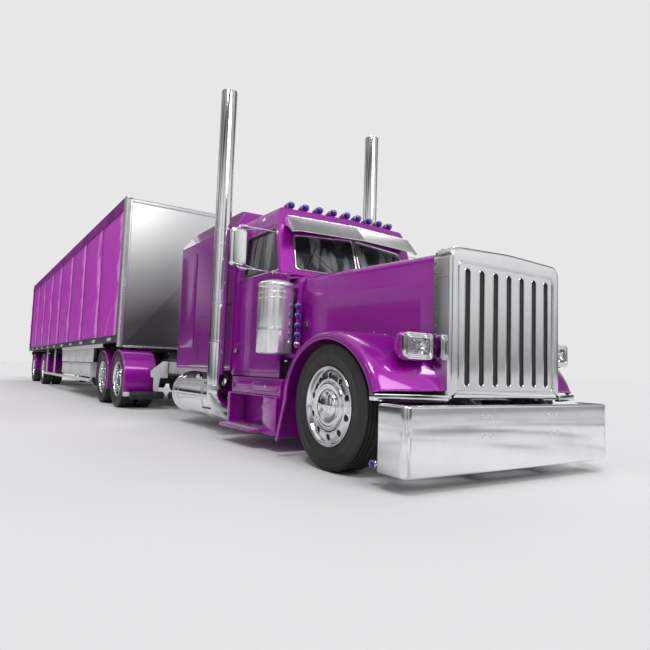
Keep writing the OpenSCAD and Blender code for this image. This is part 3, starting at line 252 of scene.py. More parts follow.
def sheet_with_painted_shade(name):
    """Polished sheet with painted shade: its colour falls softly from light grey at the top to dark grey at
    the foot, and is lighter towards the sides.
    """
    m = Mat(name)
    m.set(metallic=0.35, specular_ior_level=0.5)
    xyz = m.node("SeparateXYZ", {0: m.co}).outputs
    side = m.math("POWER", m.math("ABSOLUTE", m.math("ADD", xyz["Y"], 0.15)), 2.0)
    lift = m.math("ADD", xyz["Z"], m.math("MULTIPLY", side, 0.28))
    sway = m.math("SUBTRACT", m.noise((0.4, 0.9, 0.35), 1.0), 0.5)
    shade_level = m.math("ADD", lift, m.math("MULTIPLY", sway, 0.5))
    # painted shade: height and nearness to the sides pick a grey, dark at the foot and light at the top
    m.color(m.ramp(m.range(shade_level, 0.0, 1.0, 1.3, 4.1),
                   [(0.0, (0.055, 0.055, 0.056)), (0.22, (0.065, 0.065, 0.066)), (0.46, (0.24, 0.24, 0.243)),
                    (0.72, (0.44, 0.44, 0.443)), (1.0, (0.56, 0.56, 0.565))]))
    m.rough(m.range(m.noise(3.0, 3.0), 0.26, 0.32))
    m.bump(m.noise(14.0, 2.0), 0.01, 0.0005, 0.004)
    return m.m


PURPLE = (0.40, 0.006, 0.41), (0.22, 0.003, 0.24)
PAINT = paint("purple_paint_m", *PURPLE)
BODY = paint("body_paint_m", *PURPLE, edge=0.035)
VALANCE = coated("valance_m", (0.115, 0.006, 0.125), (0.30, 0.012, 0.31), (0.42, 0.55), 0.0, 0.05, 300.0,
                 level=0.2)
DARKP = paint("dark_purple_m", (0.115, 0.006, 0.135), (0.05, 0.003, 0.06))
CHROME = metal("chrome_m", (0.80, 0.81, 0.83))
ALLOY = metal("alloy_m", (0.78, 0.79, 0.81), (0.10, 0.22), 0.003, (20.0, 20.0, 400.0), 0.04)
BLACK = coated("black_steel_m", (0.022, 0.022, 0.025), (0.05, 0.048, 0.047), (0.34, 0.6))
ENGINE = coated("engine_m", (0.16, 0.17, 0.18), (0.26, 0.26, 0.25), (0.4, 0.6), 0.3, 0.3, 90.0)
RUBBER = coated("tyre_m", (0.014, 0.014, 0.015), (0.030, 0.029, 0.029), (0.38, 0.58), 0.0, 0.12, 320.0,
                level=0.5)
WHITE = coated("white_panel_m", (0.66, 0.665, 0.67), (0.61, 0.615, 0.62), (0.22, 0.32), 0.0, 0.02, 60.0,
               0.003, 0.5)
TRIM = coated("cab_trim_m", (0.03, 0.03, 0.034), (0.05, 0.048, 0.052), (0.45, 0.65), 0.0, 0.3, 500.0)
GLASS = window("window_painted_reflection_m", (0.012, 0.020, 0.018), (0.20, 0.225, 0.215))
LENS = glass("blue_lens_m", (0.008, 0.010, 0.30), 0.35)
SATIN = metal("satin_chrome_m", (0.84, 0.845, 0.86), (0.17, 0.23), 0.003, None, 0.004, 0.85)
CURTAIN = cloth_with_painted_folds("curtain_m", (0.20, 0.006, 0.22), (0.50, 0.022, 0.51), (0.80, 0.26, 0.78))
MIRROR = metal("mirror_glass_m", (0.72, 0.75, 0.78), (0.015, 0.03), 0.001, None, 0.0)
SILVER = metal("silver_rail_m", (0.66, 0.67, 0.68), (0.24, 0.32), 0.002, (40.0, 40.0, 0.6), 0.01)
BOARD = coated("deck_board_m", (0.20, 0.115, 0.06), (0.11, 0.06, 0.035), (0.45, 0.6), 0.0, 0.3, 120.0)
REDLENS = glass("red_lens_m", (0.55, 0.01, 0.01), 0.5)
AMBER = glass("amber_lens_m", (0.75, 0.25, 0.01), 0.5)
LIGHT = coated("light_panel_m", (0.60, 0.605, 0.61), (0.56, 0.565, 0.57), (0.30, 0.38), 0.0, 0.01, 25.0,
               0.004, 0.15)
WALL_PAINTED_SHADE = sheet_with_painted_shade("front_wall_painted_shade_m")
# near black: dark parts, and the painted shade behind the wheels' hand holes
DARK = coated("dark_steel_and_shade_m", (0.012, 0.012, 0.013), (0.02, 0.02, 0.021), (0.5, 0.7))
CLEAR = glass("clear_lens_m", (0.92, 0.94, 0.95))
SEAT = coated("seat_cover_m", (0.045, 0.040, 0.050), (0.070, 0.062, 0.078), (0.50, 0.66), 0.0, 0.35, 380.0)
PIPING = coated("piping_m", (0.24, 0.02, 0.25), (0.18, 0.015, 0.19), (0.4, 0.55))
BY_SLOT = {"purple_paint": PAINT, "dark_purple_paint": DARKP, "chrome": CHROME, "polished_alloy": ALLOY,
           "black_steel": BLACK, "engine_grey": ENGINE, "glass": GLASS, "tyre_rubber": RUBBER,
           "blue_lens": LENS, "white_panel": WHITE, "curtain_fabric": CURTAIN, "cab_trim": TRIM}
slot_of = {s["node"]: s["material_slot"] for s in frame["record"]["subparts"]}
for name, o in nodes.items():
    o.data.materials.clear()
    o.data.materials.append(BODY if name in ("cab", "sleeper") else BY_SLOT[slot_of[name]])


# Mesh tools
# Pieces are built in the drawing frame, in metres, and moved by AX when they are made
class Shape:
    """Vertices and faces of one piece, each face with the index of a material."""

    def __init__(self):
        self.v, self.f, self.m, self.n = [], [], [], 0

    def add(self, v, f, mat=0):
        v = np.asarray(v, float).reshape(-1, 3)
        self.v.append(v)
        self.f += [tuple(i + self.n for i in face) for face in f]
        self.m += [mat] * len(f)
        self.n += len(v)
        return self

    def put(self, vf, mat=0):
        return self.add(*vf, mat)

    def both(self, vf, mat=0):
        """The shape and its mirror image on the other side."""
        self.put(vf, mat)
        return self.put(flipped((np.asarray(vf[0], float) * [1, -1, 1], vf[1])), mat)

    def make(self, name, body, slot, mats, replaces=(), angle=35):
        v = np.concatenate(self.v) + np.array([AX, 0, 0])
        me = bpy.data.meshes.new(name)
        me.from_pydata(v.tolist(), [], self.f)
        me.update()
        me.polygons.foreach_set("material_index", self.m)
        me.polygons.foreach_set("use_smooth", [True] * len(me.polygons))
        me.set_sharp_from_angle(angle=math.radians(angle))
        me.validate()
        o = bpy.data.objects.new(name, me)
        bpy.context.scene.collection.objects.link(o)
        for m in mats if isinstance(mats, list) else [mats]:
            me.materials.append(m)
        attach(o, body)
        if replaces:
            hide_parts(replaces)
        return o


def rings_mesh(rings, close=True, caps=(True, True), loop=False):
    """Skin over rings of points. close joins each ring's ends, loop joins the last ring to the first."""
    rings = [np.asarray(r, float) for r in rings]
    n, m = len(rings[0]), len(rings)
    f = []
    for j in range(m if loop else m - 1):
        a, b = j * n, ((j + 1) % m) * n
        for i in range(n if close else n - 1):
            k = (i + 1) % n
            f.append((a + i, a + k, b + k, b + i))
    if not loop and close:
        if caps[0]:
            f.append(tuple(range(n - 1, -1, -1)))
        if caps[1]:
            f.append(tuple((m - 1) * n + i for i in range(n)))
    return np.concatenate(rings), f


def flipped(vf, when=True):
    """The shape with its faces turned over."""
    return (vf[0], [tuple(reversed(q)) for q in vf[1]]) if when else vf


def skin(rings):
    """Skin over closed rings, open at both ends."""
    return rings_mesh(rings, caps=(False, False))


def circle(r, n):
    a = np.arange(n) * 2 * math.pi / n
    return np.stack([r * np.cos(a), r * np.sin(a)], 1)


def frame_of(axis):
    z = np.array(axis, float) / np.linalg.norm(axis)
    x = np.cross([0, 0, 1.0] if abs(z[2]) < 0.9 else [1.0, 0, 0], z)
    x /= np.linalg.norm(x)
    return x, np.cross(z, x), z


def lathe(profile, n=48, at=(0, 0, 0), axis=(0, 0, 1)):
    """Turns (radius, height) points about an axis. A radius of 0 makes a closed end."""
    x, y, z = frame_of(axis)
    rings = []
    for a in np.arange(n) * 2 * math.pi / n:
        d = math.cos(a) * x + math.sin(a) * y
        rings.append(np.array([np.array(at) + r * d + h * z for r, h in profile]))
    return flipped(rings_mesh(rings, close=False, loop=True))


def tube(points, r, n=12, closed=False):
    """A round bar along points; r is one radius or one per point."""
    p = np.asarray(points, float)
    m = len(p)
    rs = np.full(m, r) if np.isscalar(r) else np.asarray(r)
    if closed:
        t = np.roll(p, -1, 0) - np.roll(p, 1, 0)
    else:
        t = np.gradient(p, axis=0)
    t /= np.linalg.norm(t, axis=1)[:, None]
    x, _, _ = frame_of(t[0])
    rings = []
    for i in range(m):
        x = x - t[i] * (x @ t[i])
        x /= np.linalg.norm(x)
        y = np.cross(t[i], x)
        c = circle(rs[i], n)
        rings.append(p[i] + c[:, :1] * x + c[:, 1:] * y)
    return rings_mesh(rings, loop=closed)


def bent(corners, radius, n=6):
    """A path with its corners rounded."""
    c = [np.array(q, float) for q in corners]
    out = [c[0]]
    for a, b, d in zip(c, c[1:], c[2:]):
        u, w = (a - b), (d - b)
        lu, lw = np.linalg.norm(u), np.linalg.norm(w)
        u, w = u / lu, w / lw
        half = math.acos(max(-1, min(1, u @ w))) / 2
        cut = min(radius / math.tan(half), lu * 0.49, lw * 0.49)
        r = cut * math.tan(half)
        centre = b + (u + w) / np.linalg.norm(u + w) * r / math.sin(half)
        p, q = b + u * cut - centre, b + w * cut - centre
        for k in range(n + 1):
            s = k / n
            v = p * math.sin((1 - s) * (math.pi - 2 * half)) + q * math.sin(s * (math.pi - 2 * half))
            out.append(centre + v / math.sin(math.pi - 2 * half))
    out.append(c[-1])
    return np.array(out)


def rounded_rect(x0, y0, x1, y1, r, n=5):
    out = []
    for cx, cy, a in ((x1 - r, y0 + r, -90), (x1 - r, y1 - r, 0), (x0 + r, y1 - r, 90),
                      (x0 + r, y0 + r, 180)):
        for k in range(n + 1):
            t = math.radians(a + 90 * k / n)
            out.append((cx + r * math.cos(t), cy + r * math.sin(t)))
    return np.array(out)


def rounded_poly(corners, n=5):
    """Corners are (x, y, radius)."""
    out = []
    m = len(corners)
    for i in range(m):
        a, b, c = (np.array(corners[(i + k) % m][:2], float) for k in (-1, 0, 1))
        r = corners[i][2]
        if r <= 0:
            out.append(b)
            continue
        u, w = (a - b) / np.linalg.norm(a - b), (c - b) / np.linalg.norm(c - b)
        half = math.acos(max(-1, min(1, u @ w))) / 2
        centre = b + (u + w) / np.linalg.norm(u + w) * r / math.sin(half)
        p, q = b + u * r / math.tan(half) - centre, b + w * r / math.tan(half) - centre
        sweep = math.pi - 2 * half
        for k in range(n + 1):
            s = k / n
            out.append(centre + (p * math.sin((1 - s) * sweep) + q * math.sin(s * sweep)) / math.sin(sweep))
    return np.array(out)


def on_axis(pts2, axis, h):
    """2-D outline to 3-D: axis x keeps (y, z), y keeps (x, z), z keeps (x, y)."""
    p = np.asarray(pts2, float)
    k = np.full(len(p), h)
    return {"x": np.stack([k, p[:, 0], p[:, 1]], 1), "y": np.stack([p[:, 0], k, p[:, 1]], 1),
            "z": np.stack([p[:, 0], p[:, 1], k], 1)}[axis]


def shrink(pts, d):
    """Moves a closed outline inwards by d."""
    p = np.asarray(pts, float)
    a, b = p - np.roll(p, 1, 0), np.roll(p, -1, 0) - p
    area = 0.5 * np.sum(p[:, 0] * np.roll(p[:, 1], -1) - np.roll(p[:, 0], -1) * p[:, 1])
    s = 1 if area > 0 else -1

    def normal(e):
        e = e / np.maximum(np.linalg.norm(e, axis=1)[:, None], 1e-12)
        return np.stack([-e[:, 1], e[:, 0]], 1) * s

    na, nb = normal(a), normal(b)
    m = na + nb
    m /= np.maximum(np.linalg.norm(m, axis=1)[:, None], 1e-9)
    cos = np.clip(np.sum(m * na, 1), 0.4, 1)
    return p + m * (d / cos)[:, None]


def slab(outline, axis, h0, h1, edge=0.0, steps=2):
    """An extruded outline with rounded edges."""
    rings = []
    lo, hi = min(h0, h1), max(h0, h1)
    if edge > 0:
        turns = [math.pi / 2 * k / steps for k in range(steps + 1)]
        for h, inwards, part in ((lo, 1, turns), (hi, -1, turns[::-1])):
            for t in part:
                smaller = shrink(outline, edge * (1 - math.sin(t)))
                rings.append(on_axis(smaller, axis, h + inwards * edge * (1 - math.cos(t))))
    else:
        rings = [on_axis(outline, axis, lo), on_axis(outline, axis, hi)]
    return rings_mesh(rings)


def box(lo, hi, edge=0.002, axis="z"):
    i, j, k = {"x": (1, 2, 0), "y": (0, 2, 1), "z": (0, 1, 2)}[axis]
    out = np.array([(lo[i], lo[j]), (hi[i], lo[j]), (hi[i], hi[j]), (lo[i], hi[j])])
    return slab(out, axis, lo[k], hi[k], edge, 2)


def band(outer, inner, axis, h0, h1, edge=0.0):
    """A flat ring between two outlines with the same number of points."""
    o, i = np.asarray(outer), np.asarray(inner)
    if edge:
        rings = [on_axis(o, axis, h0), on_axis(o, axis, h1 - edge), on_axis(shrink(o, edge), axis, h1),
                 on_axis(shrink(i, -edge), axis, h1), on_axis(i, axis, h1 - edge), on_axis(i, axis, h0)]
    else:
        rings = [on_axis(o, axis, h0), on_axis(o, axis, h1), on_axis(i, axis, h1), on_axis(i, axis, h0)]
    return rings_mesh(rings, True, (False, False), True)


def dome(r, h, n=12, steps=4, at=(0, 0, 0), axis=(0, 0, 1)):
    prof = [(r * math.cos(math.pi / 2 * k / steps), h * math.sin(math.pi / 2 * k / steps))
            for k in range(steps)]
    return lathe([(r, -h * 0.3)] + prof + [(0, h)], n, at, axis)


def span(y0, y1, side):
    return min(y0 * side, y1 * side), max(y0 * side, y1 * side)


def side_box(x0, x1, y0, y1, z0, z1, side, edge=0.003, axis="z"):
    """A box on one side, with its Y measured outwards from the middle."""
    a, b = span(y0, y1, side)
    return box((x0, a, z0), (x1, b, z1), edge, axis)


def strap(r, rise, half, n, at, axis=(0, 0, 1)):
    """A flat band round a cylinder."""
    return lathe([(r - 0.001, -half), (r + rise, 0.001 - half), (r + rise, half - 0.001), (r - 0.001, half)],
                 n, at, axis)


def ball(r, sweep, n, at, axis=(1, 0, 0)):
    """The round part of a lamp's glass, open at the back; sweep is in radians from the front."""
    return lathe([(0.0, r)] + [(r * math.sin(a), r * math.cos(a)) for a in np.linspace(0.15, sweep, 12)],
                 n, at, axis)


def meeting(outline, directions, centre):
    """Where each direction from the centre meets a closed outline."""
    c = np.array(centre)
    loop = np.vstack([outline, outline[:1]]) - c
    out = []
    for d in directions:
        found = []
        for a, b in zip(loop[:-1], loop[1:]):
            e = b - a
            den = d[0] * e[1] - d[1] * e[0]
            if abs(den) < 1e-12:
                continue
            t = (a[0] * e[1] - a[1] * e[0]) / den
            q = (a[0] * d[1] - a[1] * d[0]) / den
            if t > 0 and -1e-6 <= q <= 1 + 1e-6:
                found.append(t)
        out.append(c + d * min(found))
    return np.array(out)


def joined(*vfs):
    v, f, n = [], [], 0
    for a, b in vfs:
        v.append(a)
        f += [tuple(i + n for i in q) for q in b]
        n += len(a)
    return np.concatenate(v), f


# Wheels
TYRE_R, TYRE_W, RIM_R = 0.540, 0.280, 0.338
TWIN_T, TWIN_GAP, FRONT_T = 0.909, 0.342, 1.040
DRIVE_X = (-7.300, -8.650)
TRAILER_X = (-18.800, -21.850)


def wheel_at(vf, x, track, side):
    """From wheel space, with the axis on Z and the outer face up, to the drawing frame."""
    v = np.asarray(vf[0], float)
    out = np.stack([x + v[:, 0], side * (track + v[:, 2]), TYRE_R + v[:, 1]], 1)
    return flipped((out, vf[1]), side > 0)


def tyre_shape(lug):
    """Half section from the bead to the crown, mirrored; lug makes blocks at the shoulders."""
    R, W = TYRE_R, TYRE_W / 2
    half = [(RIM_R - 0.021, 0.107), (RIM_R - 0.006, 0.116), (RIM_R + 0.004, 0.122), (RIM_R + 0.012, 0.1215),
            (RIM_R + 0.016, 0.1265), (RIM_R + 0.040, 0.1335), (RIM_R + 0.043, 0.1315),
            (RIM_R + 0.066, 0.1365), (RIM_R + 0.085, 0.1385), (RIM_R + 0.088, 0.1398),
            (RIM_R + 0.104, 0.1398), (RIM_R + 0.107, 0.1382), (R - 0.066, W - 0.0028),
            (R - 0.046, W - 0.0045), (R - 0.043, W - 0.0025), (R - 0.030, W - 0.004), (R - 0.016, W - 0.009),
            (R - 0.006, W - 0.018), (R - 0.0015, W - 0.030)]
    ribs = []
    edges = (0.106, 0.068, 0.031) if not lug else (0.100, 0.060, 0.024)
    gw, gd = 0.0055, 0.013
    for e in edges:
        ribs += [(R - 0.0008, e + gw), (R - gd, e + gw * 0.6), (R - gd, e - gw * 0.6), (R - 0.0004, e - gw)]
    prof = half + ribs
    prof += [(r, -z) for r, z in reversed(prof)]
    n = 168
    v, f = lathe(prof, n)
    v = v.reshape(n, len(prof), 3)
    r = np.array([q[0] for q in prof])
    z = np.abs([q[1] for q in prof])
    for k in range(n):
        if k % (4 if lug else 6):
            continue
        if lug:
            depth = np.where((z > 0.104) & (r > R - 0.050), 0.012, np.where(r > R - 0.012, 0.006, 0.0))
        else:
            depth = np.where((z > 0.108) & (r > R - 0.020), 0.0045, np.where(r > R - 0.012, 0.0022, 0.0))
        d = v[k, :, :2] / np.maximum(np.linalg.norm(v[k, :, :2], axis=1)[:, None], 1e-9)
        v[k, :, :2] -= d * depth[:, None]
    return v.reshape(-1, 3), f


def holed_ring(r0, r1, z_of, count, rc, rh, back):
    """A dished ring between r0 and r1 with round hand holes, and the walls of the holes down to back."""
    n_side, n_arc = 6, 8
    parts = []
    step = 2 * math.pi / count
    for s in range(count):
        a0, a1 = s * step, (s + 1) * step
        loop = [(r0 + (r1 - r0) * k / n_side, a0) for k in range(n_side)]
        loop += [(r1, a0 + (a1 - a0) * k / n_arc) for k in range(n_arc)]
        loop += [(r1 + (r0 - r1) * k / n_side, a1) for k in range(n_side)]
        loop += [(r0, a1 + (a0 - a1) * k / n_arc) for k in range(n_arc)]
        outer = np.array([(r * math.cos(a), r * math.sin(a)) for r, a in loop])
        mid = (a0 + a1) / 2
        c = np.array([rc * math.cos(mid), rc * math.sin(mid)])
        d = outer - c
        d /= np.linalg.norm(d, axis=1)[:, None]
        hole, soft = c + d * rh, c + d * (rh + 0.004)
        rings = [(p, z_of(np.linalg.norm(p, axis=1)) - drop) for p, drop in
                 ((outer, 0), (outer + (soft - outer) / 2, 0), (soft, 0), (hole, 0.003))]
        rings.append((hole, np.full(len(hole), back)))
        parts.append(skin([np.column_stack(ring) for ring in rings]))
    return joined(*parts)


def nut(at_r, ang, z, h=0.030, r=0.0165):
    """A flanged wheel nut with its stud's end."""
    c = (at_r * math.cos(ang), at_r * math.sin(ang), z)
    flange = [(0, h), (r * 0.86, h), (r, h - 0.004), (r, 0.006), (r * 1.35, 0.006), (r * 1.45, 0.0)]
    body = lathe(flange, 6, c)
    stud = lathe([(0, h + 0.012), (0.007, h + 0.012), (0.008, h + 0.009), (0.008, h - 0.001)], 10, c)
    return joined(body, stud)


def front_rim_shape():
    """Polished disc wheel with ten hand holes, a smooth cover ring and a domed hub cap."""

    def face(r):
        return np.interp(r, [0.199, 0.215, 0.262, 0.300, 0.312], [0.112, 0.1185, 0.1150, 0.1065, 0.106])

    disc = holed_ring(0.199, 0.306, face, 10, 0.259, 0.0265, 0.070)
    lip = lathe([(0.306, 0.1062), (0.310, 0.112), (0.314, 0.1215), (0.321, 0.1295), (0.329, 0.1325),
                 (0.3355, 0.1315), (0.338, 0.1275), (0.337, 0.122), (0.318, 0.112), (0.3155, 0.104),
                 (0.3155, -0.104), (0.320, -0.113), (0.337, -0.121), (0.338, -0.127), (0.334, -0.131),
                 (0.326, -0.131), (0.303, -0.116), (0.300, 0.050), (0.286, 0.086), (0.190, 0.090),
                 (0.110, 0.080)], 96)
    cover = lathe([(0.199, 0.112), (0.199, 0.127), (0.196, 0.1305), (0.190, 0.1315), (0.170, 0.1300),
                   (0.148, 0.1265), (0.140, 0.1275), (0.136, 0.1315), (0.1345, 0.141), (0.131, 0.1475),
                   (0.122, 0.156), (0.104, 0.1665), (0.082, 0.1745), (0.055, 0.1810), (0.028, 0.1848),
                   (0.0, 0.1858)], 80)
    return joined(disc, lip, cover)


def twin_rim_shape():
    """Outer wheel dished inwards round a long hub, and the barrel of the inner one."""
    t = TWIN_GAP / 2

    def face(r):
        return np.interp(r, [0.172, 0.228, 0.250, 0.290], [0.0165, 0.0165, 0.024, 0.086])

    disc = holed_ring(0.196, 0.283, face, 10, 0.2395, 0.0265, -0.010)
    dish = lathe([(0.283, float(face(0.283))), (0.290, 0.094), (0.299, 0.110), (0.3025, 0.150),
                  (0.3035, t + 0.100), (0.306, t + 0.112), (0.314, t + 0.1215), (0.322, t + 0.1295),
                  (0.331, t + 0.1315), (0.3375, t + 0.1275), (0.337, t + 0.120), (0.317, t + 0.109),
                  (0.3155, t + 0.100), (0.3155, t - 0.104), (0.322, t - 0.113), (0.337, t - 0.121),
                  (0.338, t - 0.127), (0.330, t - 0.131), (0.303, 0.030), (0.303, -0.030),
                  (0.330, -t + 0.131), (0.338, -t + 0.127), (0.337, -t + 0.121), (0.317, -t + 0.111),
                  (0.3155, -t + 0.104), (0.3155, -t - 0.104), (0.337, -t - 0.121), (0.337, -t - 0.128),
                  (0.326, -t - 0.131), (0.303, -t - 0.112), (0.297, -0.090), (0.250, -0.030),
                  (0.190, -0.016)], 84)
    hub = lathe([(0.196, 0.0165), (0.196, 0.019), (0.150, 0.020), (0.1495, 0.056), (0.143, 0.061),
                 (0.126, 0.064), (0.122, 0.070), (0.1195, 0.172), (0.1185, 0.186), (0.1245, 0.188),
                 (0.1255, 0.198), (0.1215, 0.204), (0.112, 0.212), (0.096, 0.2205), (0.070, 0.2275),
                 (0.036, 0.2312), (0.0, 0.2318)], 56)
    parts = [disc, dish, hub]
    for k in range(10):
        parts.append(nut(0.1725, (k + 0.5) * math.pi / 5, 0.019))
    for k in range(8):
        a = k * math.pi / 4
        parts.append(lathe([(0, 0.008), (0.0075, 0.008), (0.0085, 0.0)], 6,
                           (0.108 * math.cos(a), 0.108 * math.sin(a), 0.2135)))
    return joined(*parts)


def hole_shade_disc(r, z):
    """Near-black disc where the brake drum's face would be, painted shade that makes the hand holes show
    dark.
    """
    return lathe([(0.0, z), (r * 0.5, z), (r, z - 0.004), (r, z - 0.05)], 40)


def all_wheels():
    smooth, lugged = tyre_shape(False), tyre_shape(True)
    rim_f, rim_t = front_rim_shape(), twin_rim_shape()
    for side, word in SIDES:
        body = "front_wheel_" + word
        Shape().put(wheel_at(smooth, 0, FRONT_T, side)).make("tyre_front_" + word, body, "tyre_rubber",
                                                             RUBBER, "front_tyre_" + word, angle=28)
        s = Shape().put(wheel_at(rim_f, 0, FRONT_T, side))
        # near-black disc behind the hand holes: painted shade
        s.put(wheel_at(hole_shade_disc(0.285, 0.097), 0, FRONT_T, side), 1)
        s.make("rim_front_" + word, body, "polished_alloy", [CHROME, DARK], "front_rim_" + word, angle=30)
        for kind, xs in (("drive", DRIVE_X), ("trailer", TRAILER_X)):
            for n, x in enumerate(xs, 1):
                body = f"{kind}_wheel_{n}_{word}"
                for place, dz in (("outer", TWIN_GAP / 2), ("inner", -TWIN_GAP / 2)):
                    v = lugged if kind == "drive" else smooth
                    v = (v[0] + np.array([0, 0, dz]), v[1])
                    Shape().put(wheel_at(v, x, TWIN_T, side)).make(f"{kind}_tyre_{n}_{place}_{word}", body,
                                                                    "tyre_rubber", RUBBER, body, angle=28)
                s = Shape().put(wheel_at(rim_t, x, TWIN_T, side))
                # near-black disc behind the hand holes: painted shade
                s.put(wheel_at(hole_shade_disc(0.285, 0.005), x, TWIN_T, side), 1)
                s.make(f"{kind}_rim_{n}_{word}", body, "polished_alloy", [CHROME, DARK], body, angle=30)


all_wheels()


# Hood, fenders and grille
HOOD_BACK, HOOD_BREAK, HOOD_FRONT = -0.950, 0.600, 0.735
HOOD_LOW, NOSE_LOW = 1.112, 0.742


def lerp(a, b, t):
    return a + (b - a) * t


def curve(points, n):
    """A smooth line of n points through the given ones."""
    p = np.asarray(points, float)
    q = np.vstack([2 * p[0] - p[1], p, 2 * p[-1] - p[-2]])
    out = []
    m = len(p) - 1
    for k in range(n):
        t = k / (n - 1) * m
        i = min(int(t), m - 1)
        u = t - i
        a, b, c, d = q[i:i + 4]
        bend, twist = 2 * a - 5 * b + 4 * c - d, 3 * b - a - 3 * c + d
        out.append(0.5 * (2 * b + (c - a) * u + bend * u * u + twist * u ** 3))
    return np.array(out)


def hood_half(x):
    return lerp(0.880, 0.680, (x - HOOD_BACK) / (HOOD_FRONT - HOOD_BACK))


def hood_ring(x, low, half, t=0.0):
    """The section at x, t inside the outer face. The outer face has a crease along each side."""
    pts = [(-half + t, low, 0), (-half + t, 1.560, 0)]
    if t == 0:
        pts += [(-half - 0.0035, 1.574, 0.012), (-half - 0.001, 1.586, 0.008)]
    pts += [(-half + t + 0.026, 1.800 - t, 0.088), (-half * 0.4, 1.840 - t, 1.2), (0.0, 1.856 - t, 0)]
    mirrored = [(-y, z, r) for y, z, r in reversed(pts[:-1])]
    full = rounded_poly(pts + mirrored, 7)
    return np.stack([np.full(len(full), x), full[:, 0], full[:, 1]], 1)


def make_hood():
    s = Shape()
    xs = [*np.linspace(HOOD_BACK, HOOD_BREAK, 24), *np.linspace(HOOD_BREAK + 0.0001, HOOD_FRONT, 5)]
    outer, inner = ([hood_ring(x, HOOD_LOW if x <= HOOD_BREAK else NOSE_LOW, hood_half(x), t) for x in xs]
                    for t in (0.0, 0.018))
    s.put(flipped(rings_mesh(outer, False)))
    s.put(rings_mesh(inner, False), 1)
    # rolled edges at the cowl and along the sides
    for ring, front in ((outer[0], False), (outer[-1], True)):
        lip = ring + (ring.mean(0) - ring) * [0, 0.022, 0.012]
        s.put(flipped(rings_mesh([ring, lip], False), not front))
    for side in (-1, 1):
        path = [(x, side * (hood_half(x) - 0.009), HOOD_LOW) for x in
                np.linspace(HOOD_BACK + 0.002, HOOD_BREAK - 0.002, 12)]
        s.put(tube(path, 0.0095, 10))
    s.make("hood_shell", "hood", "purple_paint", [PAINT, BLACK], "hood", angle=40)
    # latches near the cowl
    t = Shape()
    y = hood_half(-0.86) + 0.004
    for side in (-1, 1):
        t.put(side_box(-0.905, -0.845, y, y + 0.012, 1.270, 1.330, side, 0.004), 0)
        t.put(tube(bent([(-0.875, side * (y + 0.014), 1.324), (-0.875, side * (y + 0.022), 1.300),
                         (-0.875, side * (y + 0.014), 1.240)], 0.02), 0.007, 10), 1)
    t.make("hood_latches", "hood", "black_steel", [CHROME, RUBBER])


FENDER_IN, FENDER_OUT, LIP_DROP = 0.690, 1.222, 0.084


def fender_line(u, rx):
    if u < 0.75:
        a = math.radians(lerp(15.5, 178, u / 0.75))
        front = a < math.pi / 2
        r = lerp(0.648, 0.640, abs(math.cos(a))) if front else 0.648
        return np.array([(rx if front else 0.715) * math.cos(a), TYRE_R + r * math.sin(a)])
    q = (u - 0.75) / 0.25
    return np.array([-0.714 - 0.128 * q, TYRE_R + 0.022 - 0.378 * q])


def fender_side(x):
    step = max(0, min(1, (x - HOOD_BREAK) / 0.100))
    return -hood_half(max(-0.65, min(HOOD_FRONT, x))) - 0.0003 - 0.008 * step


def fender_ring(u, section, t=0.020):
    """section rows: share of the width, share of the lip's drop, thicknesses inwards, thicknesses down."""
    out = []
    for a, b, c, e in section:
        y1 = lerp(fender_side(fender_line(u, 0.76)[0]), -FENDER_OUT, a)
        rx = lerp(0.870, 0.745, (abs(y1) - FENDER_IN) / (FENDER_OUT - FENDER_IN))
        q0, q1 = fender_line(max(0, u - 0.01), rx), fender_line(min(1, u + 0.01), rx)
        d = (q1 - q0) / np.linalg.norm(q1 - q0)
        x, z = fender_line(u, rx) + np.array([-d[1], d[0]]) * (b * LIP_DROP + e * t)
        out.append((x, lerp(fender_side(x), -FENDER_OUT, a) + c * t, z))
    return np.array(out)


def make_fenders():
    outer = curve([(0, 0), (0.25, 0.008), (0.5, 0.03), (0.68, 0.06), (0.82, 0.11), (0.91, 0.21),
                   (0.965, 0.37), (0.992, 0.60), (1.0, 0.80), (1.0, 1.0)], 30)
    outer = np.hstack([outer, np.zeros((len(outer), 2))])
    inner = curve([(1, 0.99, 0.9, 0.1), (0.99, 0.62, 1, 0.3), (0.945, 0.30, 0.7, 0.7), (0.82, 0.11, 0.2, 1),
                   (0.5, 0.03, 0, 1), (0, 0, 0, 1)], 14)
    us = np.concatenate([np.linspace(0, 0.75, 66), np.linspace(0.77, 1, 14)])
    s = Shape()
    s.both(rings_mesh([fender_ring(u, np.vstack([outer, inner])) for u in us]), 0)
    # rolled bead round the wheel opening and across the front edge and the tail
    s.both(tube([fender_ring(u, [(1, 0.93, 0.42, 0)])[0] for u in us], 0.0115, 12), 0)
    s.both(tube([fender_ring(u, [(0.987, 0.52, 0, -0.06)])[0] for u in us[1:-1]], 0.0042, 8), 0)
    for u in (0.0, 1.0):
        s.both(tube(fender_ring(u, outer)[2:], 0.0085, 10), 0)
    s.make("fenders", "hood", "purple_paint", PAINT, "front_fenders", angle=50)
    # bolted seam between the fender and the hood's side
    t = Shape()
    for k in range(13):
        seam, beside = fender_ring(0.10 + 0.5 * k / 12, [(0.0, 0, 0, 0), (0.06, 0, 0, 0)])
        n = np.array([seam[0], 0, seam[2] - TYRE_R])
        n /= np.linalg.norm(n)
        if seam[2] >= HOOD_LOW and seam[0] <= 0.70:
            t.both(dome(0.008, 0.005, 12, 3, beside + n * 0.0015, n))
    if t.n:
        t.make("fender_bolts", "hood", "black_steel", [CHROME])


